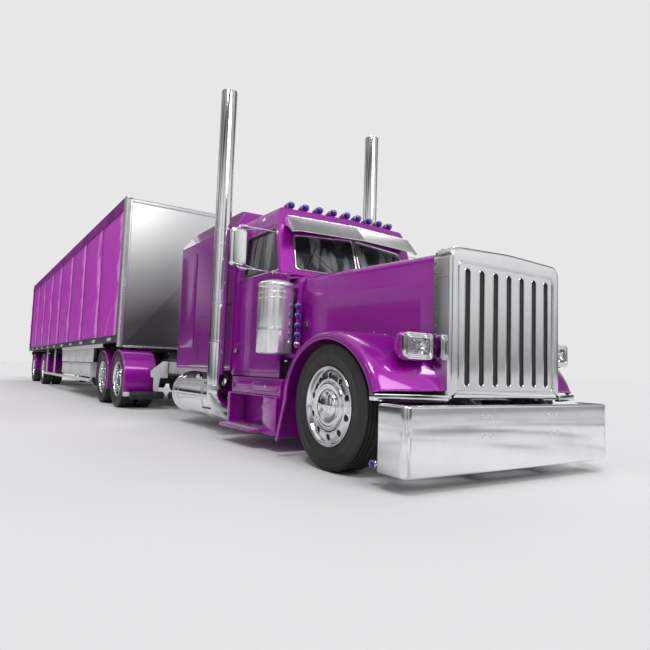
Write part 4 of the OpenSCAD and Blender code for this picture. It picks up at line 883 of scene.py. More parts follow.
def make_grille():
    s = Shape()
    x0, x1, half = 0.7353, 0.920, 0.688
    outline = rounded_poly([(-half, 0.642, 0.006), (half, 0.642, 0.006), (half, 1.832, 0.095),
                            (0, 1.858, 3.0), (-half, 1.832, 0.095)], 10)
    # the surround: side skin, a soft turn to the face, the flat face and a step in to the opening
    hole = rounded_rect(-0.596, 0.716, 0.596, 1.712, 0.045, 10)
    middle = (0.0, 1.22)
    inner, step = (meeting(p, outline - middle, middle) for p in
                   (hole, rounded_rect(-0.612, 0.700, 0.612, 1.728, 0.055, 10)))
    rings = []
    for k in range(7):
        t = math.pi / 2 * k / 6
        rings.append(on_axis(shrink(outline, 0.030 * (1 - math.cos(t))), "x", x1 - 0.030 * (1 - math.sin(t))))
    rings = [on_axis(outline, "x", x0)] + rings
    rings += [on_axis(step, "x", x1 + 0.0005), on_axis(step + (inner - step) * 0.25, "x", x1 + 0.0085),
              on_axis(step + (inner - step) * 0.75, "x", x1 + 0.0085), on_axis(inner, "x", x1 + 0.001),
              on_axis(inner, "x", x1 - 0.034)]
    back = shrink(outline, 0.020)
    s.put(skin(rings))
    s.put(skin([on_axis(inner, "x", x1 - 0.034), on_axis(back, "x", x1 - 0.034), on_axis(back, "x", x0),
                on_axis(outline, "x", x0)]))
    # fine groove where the crown's cap meets the sides, level with the hood's crease
    for side in (-1, 1):
        s.put(side_box(x0 + 0.002, x1 - 0.030, 0.6875, 0.6895, 1.588, 1.592, side, 0.0004), 1)
    # rivets behind the bright shell
    seg = np.linalg.norm(np.roll(outline, -1, 0) - outline, axis=1)
    along = np.concatenate([[0], np.cumsum(seg)])
    closed = np.vstack([outline, outline[:1]])
    count = 62
    for k in range(count):
        d = along[-1] * k / count
        i = min(max(0, int(np.searchsorted(along, d, "right")) - 1), len(outline) - 1)
        e = (closed[i + 1] - closed[i]) / max(seg[i], 1e-9)
        p = closed[i] + e * (d - along[i])
        if p[1] < 0.69:
            continue
        nrm = np.array([e[1], -e[0]])
        s.put(dome(0.0095, 0.006, 12, 3, (x0 + 0.016, *(p + nrm * 0.0005)), (0, *nrm)), 1)
    # bright strip below the fenders, hinge ears
    strip = [(0.916, -0.690), (0.916, -0.712), (0.712, -1.236), (0.650, -1.236), (0.650, -1.214),
             (0.690, -1.205), (0.872, -0.712), (0.872, -0.690)]
    s.both(slab(np.array(strip), "z", 0.628, 0.680, 0.004))
    ear = np.array([(0.890, 0.654), (0.890, 0.604), (0.921, 0.592), (0.932, 0.576), (0.950, 0.570),
                    (0.968, 0.576), (0.980, 0.600), (0.968, 0.624), (0.950, 0.630), (0.916, 0.654)])
    s.both(slab(ear, "y", -0.458, -0.438, 0.002), 1)
    s.make("grille_shell", "hood", "chrome", [CHROME, BLACK], "grille_surround", angle=32)

    # the panel with its seven long slots, each with a rolled rim
    g = Shape()
    xf, hw, low, high = 0.912, 0.036, 0.746, 1.682
    slots = [k * 0.165 for k in range(-3, 4)]
    y_edges = [-0.5955] + [(a + b) / 2 for a, b in zip(slots, slots[1:])] + [0.5955]
    z0, z1 = 0.7165, 1.7115
    for k, yc in enumerate(slots):
        a, b = y_edges[k], y_edges[k + 1]
        rim = rounded_rect(yc - hw, low, yc + hw, high, hw - 0.0005, 10)
        cell = []
        for q in rim:
            yy = b if q[0] >= yc else a
            if low + hw <= q[1] <= high - hw:
                cell.append((yy, q[1]))
                continue
            off = abs(q[0] - yc) / hw
            end = z1 if q[1] > 1.2 else z0
            cell.append((yc + (yy - yc) * min(1.0, off * 1.9),
                         q[1] + (end - q[1]) * min(1.0, (1 - off) * 3.5)))
        cell = np.array(cell)
        rings = [on_axis(cell, "x", xf), on_axis(rim, "x", xf),
                 on_axis(shrink(rim, 0.0025), "x", xf + 0.0035),
                 on_axis(shrink(rim, 0.0055), "x", xf + 0.0045),
                 on_axis(shrink(rim, 0.0085), "x", xf + 0.002), on_axis(shrink(rim, 0.0090), "x", xf - 0.012)]
        g.put(skin(rings))
    # dark inner half-round bars seen through the slots, and the backing
    for yc in slots:
        prof = [(yc + 0.028 * math.cos(t), 0.905 - 0.016 * math.sin(t)) for t in np.linspace(0, math.pi, 9)]
        rings = [np.array([(x, y, z) for y, x in prof]) for z in (0.752, 1.676)]
        g.put(rings_mesh(rings, False), 1)
    g.put(box((0.884, -0.594, 0.718), (0.890, 0.594, 1.710), 0.001, "x"), 1)
    g.make("grille_panel", "hood", "polished_alloy", [CHROME, DARK], "grille", angle=40)


def make_headlamps():
    s = Shape()
    yc, zc, x = -0.872, 1.046, 0.790
    hw, hh = 0.140, 0.104
    # purple bullet housing
    rings = []
    for k in range(15):
        t = k / 14
        w = hw * math.cos(t * math.pi / 2) ** 0.62 * 0.985 + 0.008
        h = hh * math.cos(t * math.pi / 2) ** 0.62 * 0.985 + 0.008
        xx = x - 0.066 - 0.225 * t
        zz, yy = zc + 0.055 * t ** 1.4, yc + 0.035 * t ** 1.4
        rings.append(on_axis(rounded_rect(yy - w, zz - h, yy + w, zz + h, min(w, h) * lerp(0.36, 0.97, t), 6),
                             "x", xx))
    s.both(flipped(rings_mesh(rings)), 1)

    def bezel(d, r):
        return rounded_rect(yc - hw + d, zc - hh + d, yc + hw - d, zc + hh - d, r, 7)

    # three stepped bezels
    steps = [(0.004, 0.034, -0.068), (0.0, 0.036, -0.060), (0.0, 0.036, -0.006), (0.003, 0.034, 0.0),
             (0.012, 0.028, 0.002), (0.015, 0.026, -0.004), (0.017, 0.025, 0.006), (0.026, 0.022, 0.009),
             (0.029, 0.020, 0.002), (0.031, 0.019, 0.011), (0.039, 0.017, 0.0138), (0.043, 0.015, 0.011),
             (0.046, 0.014, -0.002)]
    rings = [on_axis(bezel(d, r), "x", x + h) for d, r, h in steps]
    s.both(skin(rings))
    # reflector bowl and lens
    bowl = [on_axis(bezel(0.046 + 0.055 * k / 5, 0.014 + 0.02 * k / 5), "x",
                    x - 0.004 - 0.038 * math.sin(math.pi / 2 * k / 5)) for k in range(6)]
    s.both(rings_mesh(bowl, True, (False, True)))
    s.both(lathe([(0.0, 0.0), (0.014, 0.002), (0.018, 0.010), (0.017, 0.022), (0.008, 0.031), (0.0, 0.033)],
                 20, (x - 0.040, yc, zc), (1, 0, 0)), 2)
    lens = [on_axis(bezel(0.046 + 0.03 * k, 0.014 + 0.006 * k), "x",
                    x + 0.001 + 0.006 * math.sin(math.pi / 2 * min(1, k / 1.8)))
                    for k in np.linspace(0, 1.9, 6)]
    s.both(rings_mesh(lens, True, (False, True)), 3)
    # stand on the hood's side
    s.both(slab(rounded_rect(0.662, 1.034, 0.708, 1.084, 0.010, 4), "y", -hood_half(0.66) - 0.075,
                -hood_half(0.71) + 0.001, 0.002), 1)
    s.make("headlamp_pods", "hood", "chrome", [CHROME, PAINT, WHITE, CLEAR], "headlamps", angle=35)


make_hood()
make_fenders()
make_grille()
make_headlamps()


# Bumper, cab trim and lamps
def make_bumper():
    x1, half, back, low, high = 1.050, 1.230, 0.755, 0.113, 0.615
    corners = [(back, -half, 0), (x1 - 0.001, -half, 0), (x1 - 0.001, half, 0), (back, half, 0)]
    plan = bent(corners, 0.060, 12)[:, :2]

    def inset(d):
        c = plan.copy()
        t = np.gradient(c, axis=0)
        t /= np.linalg.norm(t, axis=1)[:, None]
        n = np.stack([-t[:, 1], t[:, 0]], 1)
        return c + n * d

    r = 0.020
    prof = [(r * (1 - math.sin(a)), low + r * (1 - math.cos(a))) for a in np.linspace(0, math.pi / 2, 7)]
    prof += [(r * (1 - math.cos(a)), high - r * (1 - math.sin(a))) for a in np.linspace(0, math.pi / 2, 7)]
    outer = [(0.030, low)] + prof + [(0.048, high)]
    loop = outer + [(0.048, high - 0.004), (r + 0.003, high - 0.004), (0.005, high - r), (0.005, low + r),
                    (0.030, low + 0.004)]
    rings = []
    for d, z in loop:
        p = inset(d)
        p[0, 0] = p[-1, 0] = back
        rings.append(np.hstack([p, np.full((len(p), 1), z)]))
    v, f = rings_mesh(rings, False, loop=True)
    s = Shape().put(flipped((v, f)))
    n = len(plan)
    for e in (0, n - 1):
        cap = tuple(j * n + e for j in range(len(loop)))
        s.add(v, [cap if e else tuple(reversed(cap))])
    # stiffeners and brackets behind the plate
    for side in (-1, 1):
        y = side * 0.4075
        s.put(box((1.026, y - 0.060, 0.335), (1.038, y + 0.060, 0.585), 0.003), 1)
        for z in (0.37, 0.545):
            s.put(lathe([(0, 0.016), (0.012, 0.016), (0.013, 0.0)], 6, (1.026, y, z), (-1, 0, 0)), 1)
    # bolts on the face: four smooth round heads a side
    for side in (-1, 1):
        for y in (0.36, 0.455):
            for z in (0.385, 0.53):
                s.put(dome(0.016, 0.0045, 20, 4, (x1 - 0.0012, side * y, z), (1, 0, 0)))
    s.make("bumper_plate", "chassis", "chrome", [CHROME, BLACK], "bumper", angle=40)


SCREEN_X, SCREEN_Z, SCREEN_TILT, SCREEN_VEE = -1.150, 1.852, 18.0, 6.0


def pane_place(vf, side):
    """Local X out of the glass, Y across, Z up along it."""
    vee = Matrix.Rotation(math.radians(side * SCREEN_VEE), 3, "Z")
    tilt = Matrix.Rotation(math.radians(-SCREEN_TILT), 3, "Y")
    return np.asarray(vf[0], float) @ np.array(vee @ tilt).T + np.array([SCREEN_X, 0, SCREEN_Z]), vf[1]


def pane_outline(side, d, n=8):
    a, b = side * (0.035 - d), side * (0.800 + d)
    p = [(a, 0.056 - d, 0.026), (b, 0.084 - d, 0.040), (side * (0.782 + d), 0.505 + d, 0.040),
         (a, 0.545 + d, 0.026)]
    out = rounded_poly(p, n)
    return out if side > 0 else out[::-1]


def frame_strip(side):
    """A rounded gasket round a pane."""
    rows = [(0.013, 0.0), (0.014, 0.004), (0.011, 0.0075), (0.004, 0.0085), (-0.003, 0.0070),
            (-0.008, 0.0025), (-0.010, -0.004), (-0.010, -0.016)]
    return skin([on_axis(pane_outline(side, d), "x", h) for d, h in rows])


def make_screen():
    s = Shape()
    for side in (-1, 1):
        s.put(pane_place(frame_strip(side), side), 0)
        rows = [(0.019, 0.0), (0.020, 0.0025), (0.014, 0.004)]
        s.put(pane_place(skin([on_axis(pane_outline(side, d), "x", h) for d, h in rows]), side), 1)
        # wiper: pivot, arm and blade resting on the glass
        y0, y1 = side * 0.30, side * 0.56
        arm = bent([(0.020, y0, 0.006), (0.034, y0 + side * 0.02, 0.05), (0.020, y1, 0.275)], 0.03, 5)
        s.put(pane_place(tube(arm, [0.0065] * 2 + [0.0048] * (len(arm) - 2), 10), side), 1)
        s.put(pane_place(lathe([(0.0, 0.016), (0.010, 0.015), (0.013, 0.008), (0.013, -0.003)], 16,
                               (0.010, y0, 0.006), (1, 0, 0)), side), 1)
        a, b = np.array([0.0, y1 + side * 0.085, 0.105]), np.array([0.0, y1 - side * 0.062, 0.465])
        d = (b - a) / np.linalg.norm(b - a)
        s.put(pane_place(tube([a, b], 0.0042, 8), side), 1)
        for q in (0.25, 0.75):
            c = a + (b - a) * q
            s.put(pane_place(tube([c, c + np.array([0.012, 0, 0])], 0.004, 8), side), 1)
        s.put(pane_place(tube([a + d * 0.08 + [0.012, 0, 0], a + d * 0.19 + [0.020, 0, 0],
                               b - d * 0.08 + [0.012, 0, 0]], 0.0038, 8), side), 1)
    s.make("screen_gaskets", "chassis", "chrome", [CHROME, RUBBER], angle=50)


def make_visor():
    """A bright sheet folded along the middle, with wrapped ends and a rolled lower edge."""
    s = Shape()
    for side in (-1, 1):
        rings = []
        for u in np.linspace(0, 1, 18):
            drop = 0.016 * max(0, (u - 0.86) / 0.14) ** 2
            prof = [(0.003, 0.632), (0.060, 0.672), (0.078, 0.688), (0.091, 0.693), (0.101, 0.687),
                    (0.112, 0.668), (0.2075, 0.447 - drop), (0.2115, 0.4365 - drop), (0.2105, 0.4315 - drop),
                    (0.206, RAIL_OUT - drop), (0.2015, 0.436 - drop), (0.104, 0.660), (0.096, 0.672),
                    (0.089, 0.674), (0.066, 0.660), (0.006, 0.630)]
            # the two halves meet on the centre plane
            tilt, vee = math.radians(SCREEN_TILT), math.radians(SCREEN_VEE)
            meet = [-(x * math.cos(tilt) - z * math.sin(tilt)) * math.tan(vee) * side for x, z in prof]
            rings.append([(x, lerp(m, side * 0.8895, u), z) for (x, z), m in zip(prof, meet)])
        s.put(pane_place(flipped(rings_mesh(rings), side > 0), side))
        # end plate that wraps back to the cab
        end = np.array([(0.004, 0.630), (0.060, 0.670), (0.091, 0.691), (0.110, 0.668), (0.208, 0.432),
                        (0.184, 0.420), (0.070, 0.560), (0.012, 0.600)])
        y = side * 0.8865
        s.put(pane_place(slab(end if side < 0 else end[::-1], "y", y - 0.0025, y + 0.0025, 0.001), side))
    # round heads along the top fold
    for side in (-1, 1):
        for k in range(5):
            y = side * (0.09 + 0.19 * k)
            s.put(pane_place(dome(0.008, 0.004, 14, 3, (0.083, y, 0.6905), (0.2, 0, 1)), side))
    s.make("visor_sheet", "chassis", "chrome", [SATIN], "sun_visor", angle=30)


ROOF_RISE = 0.09 / 1.02


def roof_z(x):
    return 2.645 + ROOF_RISE * (-1.400 - x)


def bullet(at):
    """Glass ball in a bright ring, with a painted housing that tapers back."""
    r, length = 0.0455, 0.185
    ring = lathe([(r * 0.985, -0.004), (r * 1.02, -0.005), (r * 1.03, -0.010), (r * 1.01, -0.014),
                  (r * 0.97, -0.014)], 28, at, (1, 0, 0))
    tail = [(r * 0.985, -0.012)] + [(r * 0.985 * math.cos(math.pi / 2 * t) ** 0.75,
                                     -0.012 - (length - 0.014) * t)
                                    for t in np.linspace(0.08, 0.995, 12)] + [(0, -length)]
    return ball(r, 1.75, 28, at), ring, lathe(tail[::-1], 28, at, (1, 0, 0))


def make_lamps():
    s = Shape()
    n = 9
    for i in range(n):
        y = 0.182 * (i - (n - 1) / 2)
        x = -1.460 - abs(y) * 0.12
        z = roof_z(x) + 0.058
        for mat, piece in enumerate(bullet((x, y, z))):
            s.put(piece, mat)
        foot = [on_axis(rounded_rect(x - a, y - b, x + a, y + b, min(a, b) * 0.9, 4), "z", h)
                for a, b, h in ((0.034, 0.018, roof_z(x) + 0.0035), (0.030, 0.016, roof_z(x) + 0.010),
                                (0.016, 0.009, z - 0.030))]
        s.put(rings_mesh(foot), 2)
    for side in (-1, 1):
        yc = side * 0.962
        strip = rounded_rect(-0.906, 1.040, -0.886, 1.520, 0.009, 5)
        s.put(slab(strip, "y", yc - side * 0.006, yc + side * 0.018, 0.003), 2)
        for z in (1.050, 1.485):
            s.put(side_box(-0.979, -0.890, 0.9303, 0.956, z, z + 0.025, side), 2)
        for i in range(5):
            c = np.array([-0.896, yc, 1.085 + 0.097 * i])
            ax = np.array([0.45, side * 1.0, 0.05])
            ax /= np.linalg.norm(ax)
            s.put(ball(0.0355, 2.2, 26, c, ax), 0 if i else 3)
            s.put(lathe([(0.031, -0.010), (0.0345, -0.009), (0.0350, -0.003), (0.0325, 0.003),
                         (0.0315, 0.002)], 26, c, ax), 1)
    for side in (-1, 1):
        c = np.array([0.655, side * 1.184, 0.165])
        ax = np.array([-0.55, side * 0.80, 0.1])
        ax /= np.linalg.norm(ax)
        s.put(ball(0.0375, 2.0, 28, c, ax), 0)
        s.put(lathe([(0.030, -0.026), (0.0365, -0.018), (0.0375, -0.006), (0.0370, 0.001), (0.0350, 0.002)],
                    28, c, ax), 1)
        s.put(tube([(0.670, side * 1.184, 0.165), (0.800, side * 1.184, 0.165)], 0.009, 12), 1)
        s.put(side_box(0.775, 0.800, 1.180, 1.2177, 0.149, 0.181, side), 1)
    s.make("lamp_set", "chassis", "blue_lens", [LENS, CHROME, PAINT, CLEAR], "marker_lamps", angle=40)


def make_air_cleaners():
    s = Shape()
    r, lo, hi = 0.183, 0.985, 1.700
    at = (-1.070, -1.128, 0)
    prof = [(0, lo + 0.001), (r - 0.030, lo + 0.001), (r - 0.026, lo + 0.006), (r - 0.008, lo + 0.006),
            (r - 0.002, lo + 0.012), (r, lo + 0.020), (r, hi - 0.168), (r + 0.0022, hi - 0.166),
            (r + 0.0030, hi - 0.160), (r + 0.0022, hi - 0.154), (r, hi - 0.152), (r - 0.0004, hi - 0.112),
            (r + 0.0026, hi - 0.109), (r + 0.0030, hi - 0.103), (r + 0.0026, hi - 0.097),
            (r - 0.002, hi - 0.094), (r - 0.004, hi - 0.048), (r - 0.002, hi - 0.042),
            (r + 0.0035, hi - 0.038), (r + 0.004, hi - 0.030), (r + 0.0035, hi - 0.014),
            (r + 0.001, hi - 0.006), (r - 0.010, hi + 0.006), (r - 0.034, hi + 0.019),
            (r - 0.070, hi + 0.031), (r - 0.110, hi + 0.039), (0.022, hi + 0.042), (0.018, hi + 0.0435),
            (0, hi + 0.0435)]
    s.both(lathe(prof, 96, at))
    # band clamp with its bolt, and two drain slots low on the body
    clamp = [(r + 0.0005, 1.215), (r + 0.0028, 1.216), (r + 0.0028, 1.249), (r + 0.0005, 1.250)]
    s.both(lathe(clamp, 96, at))
    s.both(tube([(at[0] + 0.120, at[1] - 0.143, 1.2325), (at[0] + 0.158, at[1] - 0.100, 1.2325)], 0.005, 10))
    for z in (1.120, 1.440):
        s.both(box((-1.130, -0.965, z), (-1.010, -0.9305, z + 0.060), 0.004), 1)
    # duct from the canister to the cowl
    s.both(tube(bent([(-1.070, -1.10, 1.60), (-1.070, -0.9315, 1.60)], 0.02), 0.060, 24), 1)
    s.make("air_cleaner_cans", "chassis", "chrome", [SATIN, BLACK], "air_cleaners", angle=28)


def make_mirrors():
    for side, name in SIDES:
        s = Shape()
        x, y = -1.440, side * 1.400
        zc = 2.110
        def head(d, r):
            return rounded_rect(y - 0.095 + d, zc - 0.205 + d, y + 0.095 - d, zc + 0.205 - d, r, 8)

        # head: bright pressed back to the front, glass to the rear
        rings = [on_axis(head(0, 0.042), "x", x - 0.022)]
        for k in range(8, -1, -1):
            a = math.pi / 2 * k / 8
            rings.append(on_axis(head(0.031 * (1 - math.sin(a)), 0.042), "x",
                                 x - 0.004 + 0.030 * math.cos(a)))
        s.put(rings_mesh(rings, True, (False, True)))
        s.put(flipped(skin([on_axis(head(d, 0.042 - d * 0.6), "x", x + h) for d, h in
                            ((0.0, -0.022), (0.002, -0.027), (0.007, -0.0285), (0.011, -0.026),
                             (0.012, -0.020))])))
        glass_line = on_axis(head(0.011, 0.036), "x", x - 0.021)
        s.add(glass_line, [tuple(range(len(glass_line)))], 1)
        # loop arms above and below, with a cross stay each and round feet
        top, low = 2.342, 1.890
        for z, foot in ((top, 0.947), (low, 0.981)):
            s.put(tube([(x, side * 1.405, z), (x, side * foot, z)], 0.0085, 14))
            s.put(lathe([(0, 0.010), (0.016, 0.009), (0.022, 0.004), (0.023, 0)], 22, (x, side * foot, z),
                        (0, side, 0)))
        loop = bent([(x, side * 1.000, top), (x, side * 1.4085, top), (x, side * 1.4085, low),
                     (x, side * 1.000, low)], 0.035, 8)
        s.put(tube(loop, 0.0086, 14))
        for z in (2.345, 1.887):
            s.put(dome(0.013, 0.008, 14, 3, (x, side * 1.335, z), (1, 0, 0)))
            s.put(side_box(x - 0.014, x + 0.008, 1.300, 1.370, z - 0.012, z + 0.012, side))
        for z, d in ((top, -0.030), (low, 0.030)):
            knee = (x + 0.006, side * 1.300, z + d)
            s.put(tube([(x, side * 1.16, z), knee], 0.0055, 10))
            s.put(tube([knee, (x + 0.006, side * 1.355, z + d * 1.2)], 0.0055, 10))
        s.make("mirror_set_" + name, "door_" + name, "chrome", [CHROME, MIRROR], "mirror_" + name, angle=35)


def skin_y(z):
    """The cab's side leans in above the belt."""
    return lerp(0.980, 0.920, (z - 1.900) / 0.775) if z > 1.9 else 0.980


def make_door_trim():
    win = [(-1.358, 1.932, 0.030), (-2.190, 1.932, 0.040), (-2.190, 2.388, 0.040), (-1.507, 2.388, 0.030)]
    for side, name in SIDES:
        s = Shape()
        rings = []
        for d, h in ((-0.013, 0.0015), (-0.0125, 0.0045), (-0.008, 0.0060), (0.0, 0.0055), (0.006, 0.0030),
                     (0.008, -0.004), (0.008, -0.014)):
            rings.append([(x, side * (skin_y(z) + h), z) for x, z in shrink(rounded_poly(win, 8), d)])
        s.put(flipped(skin(rings), side > 0), 1)
        # bright belt trim under the window, keyhole and a square pull in its black surround
        s.put(slab(rounded_rect(-2.330, 1.893, -1.300, 1.907, 0.006, 4), "y", side * 0.9795, side * 0.9865,
                   0.002), 0)
        s.put(slab(rounded_rect(-2.327, 1.004, -2.248, 1.074, 0.012, 5), "y", side * 0.9795, side * 1.0015,
                   0.004), 1)
        s.put(slab(rounded_rect(-2.310, 1.018, -2.265, 1.060, 0.009, 5), "y", side * 1.000, side * 1.0125,
                   0.005), 0)
        s.put(dome(0.0075, 0.003, 16, 3, (-2.287, side * 0.980, 1.110), (0, side, 0)), 0)
        s.make("door_trim_" + name, "door_" + name, "black_steel", [CHROME, RUBBER], angle=50)


def make_stacks():
    s = Shape()
    x, y, r, top = -2.500, -1.150, 0.100, 4.330
    at = (x, y, 0)
    pipe = [(r - 0.005, 1.20), (r - 0.005, top - 0.006), (r - 0.0035, top - 0.001), (r - 0.0015, top),
            (r, top - 0.003), (r, 2.5665), (r - 0.0025, 2.5655), (r - 0.0025, 2.5405), (r + 0.0036, 2.5395),
            (r + 0.0036, 2.530), (r, 2.5285), (r, 1.1565), (r + 0.0036, 1.1550), (r + 0.0036, 1.1310),
            (r - 0.0005, 1.1295), (r, 1.126), (r, 0.565)]
    s.both(lathe(pipe, 80, at))
    # the foot curves in under the cab, and ends in a plain cut
    bend, foot, n = 0.180, 0.38, 22
    arc = [(x, y, 0.62), (x, y, foot + bend)]
    arc += [(x, y + bend * (1 - math.cos(a)), foot + bend * (1 - math.sin(a)))
            for a in np.linspace(0.06, math.pi / 2, n)]
    arc += [(x, y + bend + 0.06, foot), (x, y + bend + 0.178, foot)]
    s.both(tube(arc, [r] * 2 + [r + 0.0012] * n + [r] * 2, 64))
    for z in (2.335, 1.62):
        s.both(strap(r, 0.0038, 0.020, 80, (x, y, z)))
    s.both(box((-2.532, -1.052, 2.300), (-2.482, -1.0005, 2.360), 0.004), 1)
    s.both(box((-2.525, -1.052, 1.60), (-2.489, -1.0005, 1.64), 0.003), 1)
    for z in (2.335, 1.62):
        s.both(tube([(x + 0.030, y + r + 0.002, z), (x + 0.030, y + r + 0.020, z)], 0.006, 8), 1)
    s.make("stack_pipes", "chassis", "chrome", [CHROME, BLACK], "exhaust_stacks", angle=30)


def make_tanks():
    s = Shape()
    y, z, r = -0.768, 0.450, 0.310
    x0, x1 = -4.390, -2.610
    end = [(0, 0.0), (r - 0.070, 0.0), (r - 0.052, 0.002), (r - 0.030, 0.008), (r - 0.012, 0.018),
           (r - 0.003, 0.030), (r, 0.044)]
    length = x1 - x0
    prof = end + [(r, 0.190), (r - 0.0012, 0.192), (r, 0.194), (r, length - 0.194),
                  (r - 0.0012, length - 0.192), (r, length - 0.190)] \
        + [(q, length - h) for q, h in end[::-1]]
    s.both(lathe(prof, 96, (x0, y, z), (1, 0, 0)))
    # long weld along the middle of the tank
    s.both(tube([(x0 + 0.05, y - r - 0.0002, z + 0.02), (x1 - 0.05, y - r - 0.0002, z + 0.02)], 0.0028, 8))
    # double straps at each end, with tightening bolts
    for xs in (x0 + 0.075, x0 + 0.130, x0 + 0.285, -3.165, -3.110, x1 - 0.130, x1 - 0.075):
        s.both(lathe([(r - 0.001, -0.014), (r + 0.0045, -0.013), (r + 0.0062, -0.009), (r + 0.0062, 0.009),
                      (r + 0.0045, 0.013), (r - 0.001, 0.014)],
                     96, (xs, y, z), (1, 0, 0)))
    # filler neck and cap
    fx = -3.55
    d = np.array([0, -math.sin(math.radians(38)), math.cos(math.radians(38))])
    base = np.array([fx, y, z]) + d * (r - 0.012)
    s.both(lathe([(0, 0.052), (0.030, 0.052), (0.036, 0.049), (0.038, 0.044), (0.044, 0.042), (0.046, 0.038),
                  (0.046, 0.026), (0.043, 0.022), (0.040, 0.020), (0.040, 0.0)], 40, base, d))
    # brackets to the frame rail
    for xb in (x0 + 0.26, x1 - 0.56):
        s.both(box((xb, y + r - 0.120, 0.670), (xb + 0.070, -0.430, 0.740), 0.004), 1)
        s.both(box((xb, y + 0.120, 0.650), (xb + 0.070, y + r - 0.110, 0.740), 0.004), 1)
    # step pads on the tank
    xb = x1 - 0.42
    for zz in (0.30, 0.62):
        w = math.sqrt(r ** 2 - (zz - z) ** 2)
        s.both(box((xb - 0.13, y - w - 0.012, zz - 0.010), (xb + 0.13, y - w + 0.030, zz + 0.008), 0.003), 1)
    s.make("tank_shells", "chassis", "chrome", [CHROME, BLACK], "fuel_tanks", angle=30)


def make_steps():
    s = Shape()
    xf, xb, out = -0.985, -2.170, -1.125

    def side_view(top, r, foot, low, bend, n):
        """The box from the side, between top and low, with the feet of its ends bent inwards."""
        return rounded_poly([(xf, top, r), (xf, foot, bend), (xf - 0.060, low, bend), (xb + 0.060, low, bend),
                             (xb, foot, bend), (xb, top, r)], n)

    s.both(slab(side_view(0.735, 0.006, 0.195, 0.172, 0.025, 5), "y", -0.935, -0.640, 0.003))
    upper = rounded_poly([(xf, 0.735, 0.010), (xf, 0.556, 0.0), (xb, 0.556, 0.0), (xb, 0.735, 0.010)], 5)
    s.both(slab(upper, "y", -1.080, -0.934, 0.008, 4))
    # lower front frame round the toe space
    lo = side_view(0.558, 0.014, 0.190, 0.168, 0.030, 8)
    hx0, hx1, hz0, hz1 = xb + 0.070, xf - 0.280, 0.216, 0.545
    hole = rounded_rect(hx0, hz0, hx1, hz1, 0.020, 6)
    c = np.array([(hx0 + hx1) / 2, (hz0 + hz1) / 2])

    # add points so that the corners of the toe space are met
    dense = []
    loop = np.vstack([lo, lo[:1]])
    for a, b in zip(loop[:-1], loop[1:]):
        k = max(1, int(np.linalg.norm(b - a) / 0.012))
        dense += [a + (b - a) * i / k for i in range(k)]
    dense = np.array(dense)
    inner = meeting(hole, dense - c, c)
    e = 0.010
    rings = [on_axis(dense, "y", -0.936)]
    rings += [on_axis(shrink(dense, e * (1 - math.cos(t))), "y", out + e * (1 - math.sin(t)))
              for t in np.linspace(0, math.pi / 2, 5)]

    def grow(d):
        return c + (inner - c) * (1 + d / np.abs(inner - c).max(1))[:, None]

    rings += [on_axis(grow(0.006), "y", out), on_axis(grow(0.0015), "y", out + 0.002),
              on_axis(inner, "y", out + 0.007), on_axis(inner, "y", -0.936)]
    s.both(skin(rings))
    # ribbed tread that stands out at the foot
    tread = rounded_poly([(xb + 0.010, out + 0.020, 0), (xb + 0.034, out - 0.117, 0.034),
                          (xf - 0.336, out - 0.117, 0.034), (xf - 0.300, out + 0.020, 0)], 8)
    s.both(slab(tread, "z", 0.176, 0.208, 0.009, 4))
    for k in range(5):
        yy = out - 0.012 - 0.021 * k
        inset = 0.014 + 0.006 * k
        s.both(tube([(xb + 0.030 + inset, yy, 0.2085), (xf - 0.322 - inset, yy, 0.2085)], 0.0055, 10), 2)
    s.both(box((hx0 + 0.004, -1.118, 0.209), (hx1 - 0.004, -0.940, 0.2145), 0.002), 2)
    for k in range(6):
        s.both(tube([(hx0 + 0.02, -1.100 + 0.027 * k, 0.2155), (hx1 - 0.02, -1.100 + 0.027 * k, 0.2155)],
                    0.0035, 8), 2)
    # pressed locker lid on the upper panel, its latch, and the bearer to the rail
    lid = rounded_rect(xf - 0.616, 0.604, xf - 0.044, 0.702, 0.030, 8)
    s.both(slab(lid, "y", -1.0845, -1.078, 0.003))
    s.both(slab(shrink(lid, -0.004), "y", -1.0806, -1.078, 0.0), 1)
    s.both(slab(rounded_rect(xf - 0.350, 0.640, xf - 0.310, 0.666, 0.006, 4), "y", -1.0875, -1.083, 0.002), 2)
    s.both(slab(rounded_rect(xb + 0.035, 0.600, xf - 0.660, 0.706, 0.030, 8), "y", -1.0835, -1.078, 0.003))
    s.both(box((xb + 0.250, -0.700, 0.710), (xf - 0.250, -0.431, 0.740), 0.003), 1)
    s.make("step_box_set", "chassis", "purple_paint", [PAINT, BLACK, CHROME], "step_boxes", angle=38)


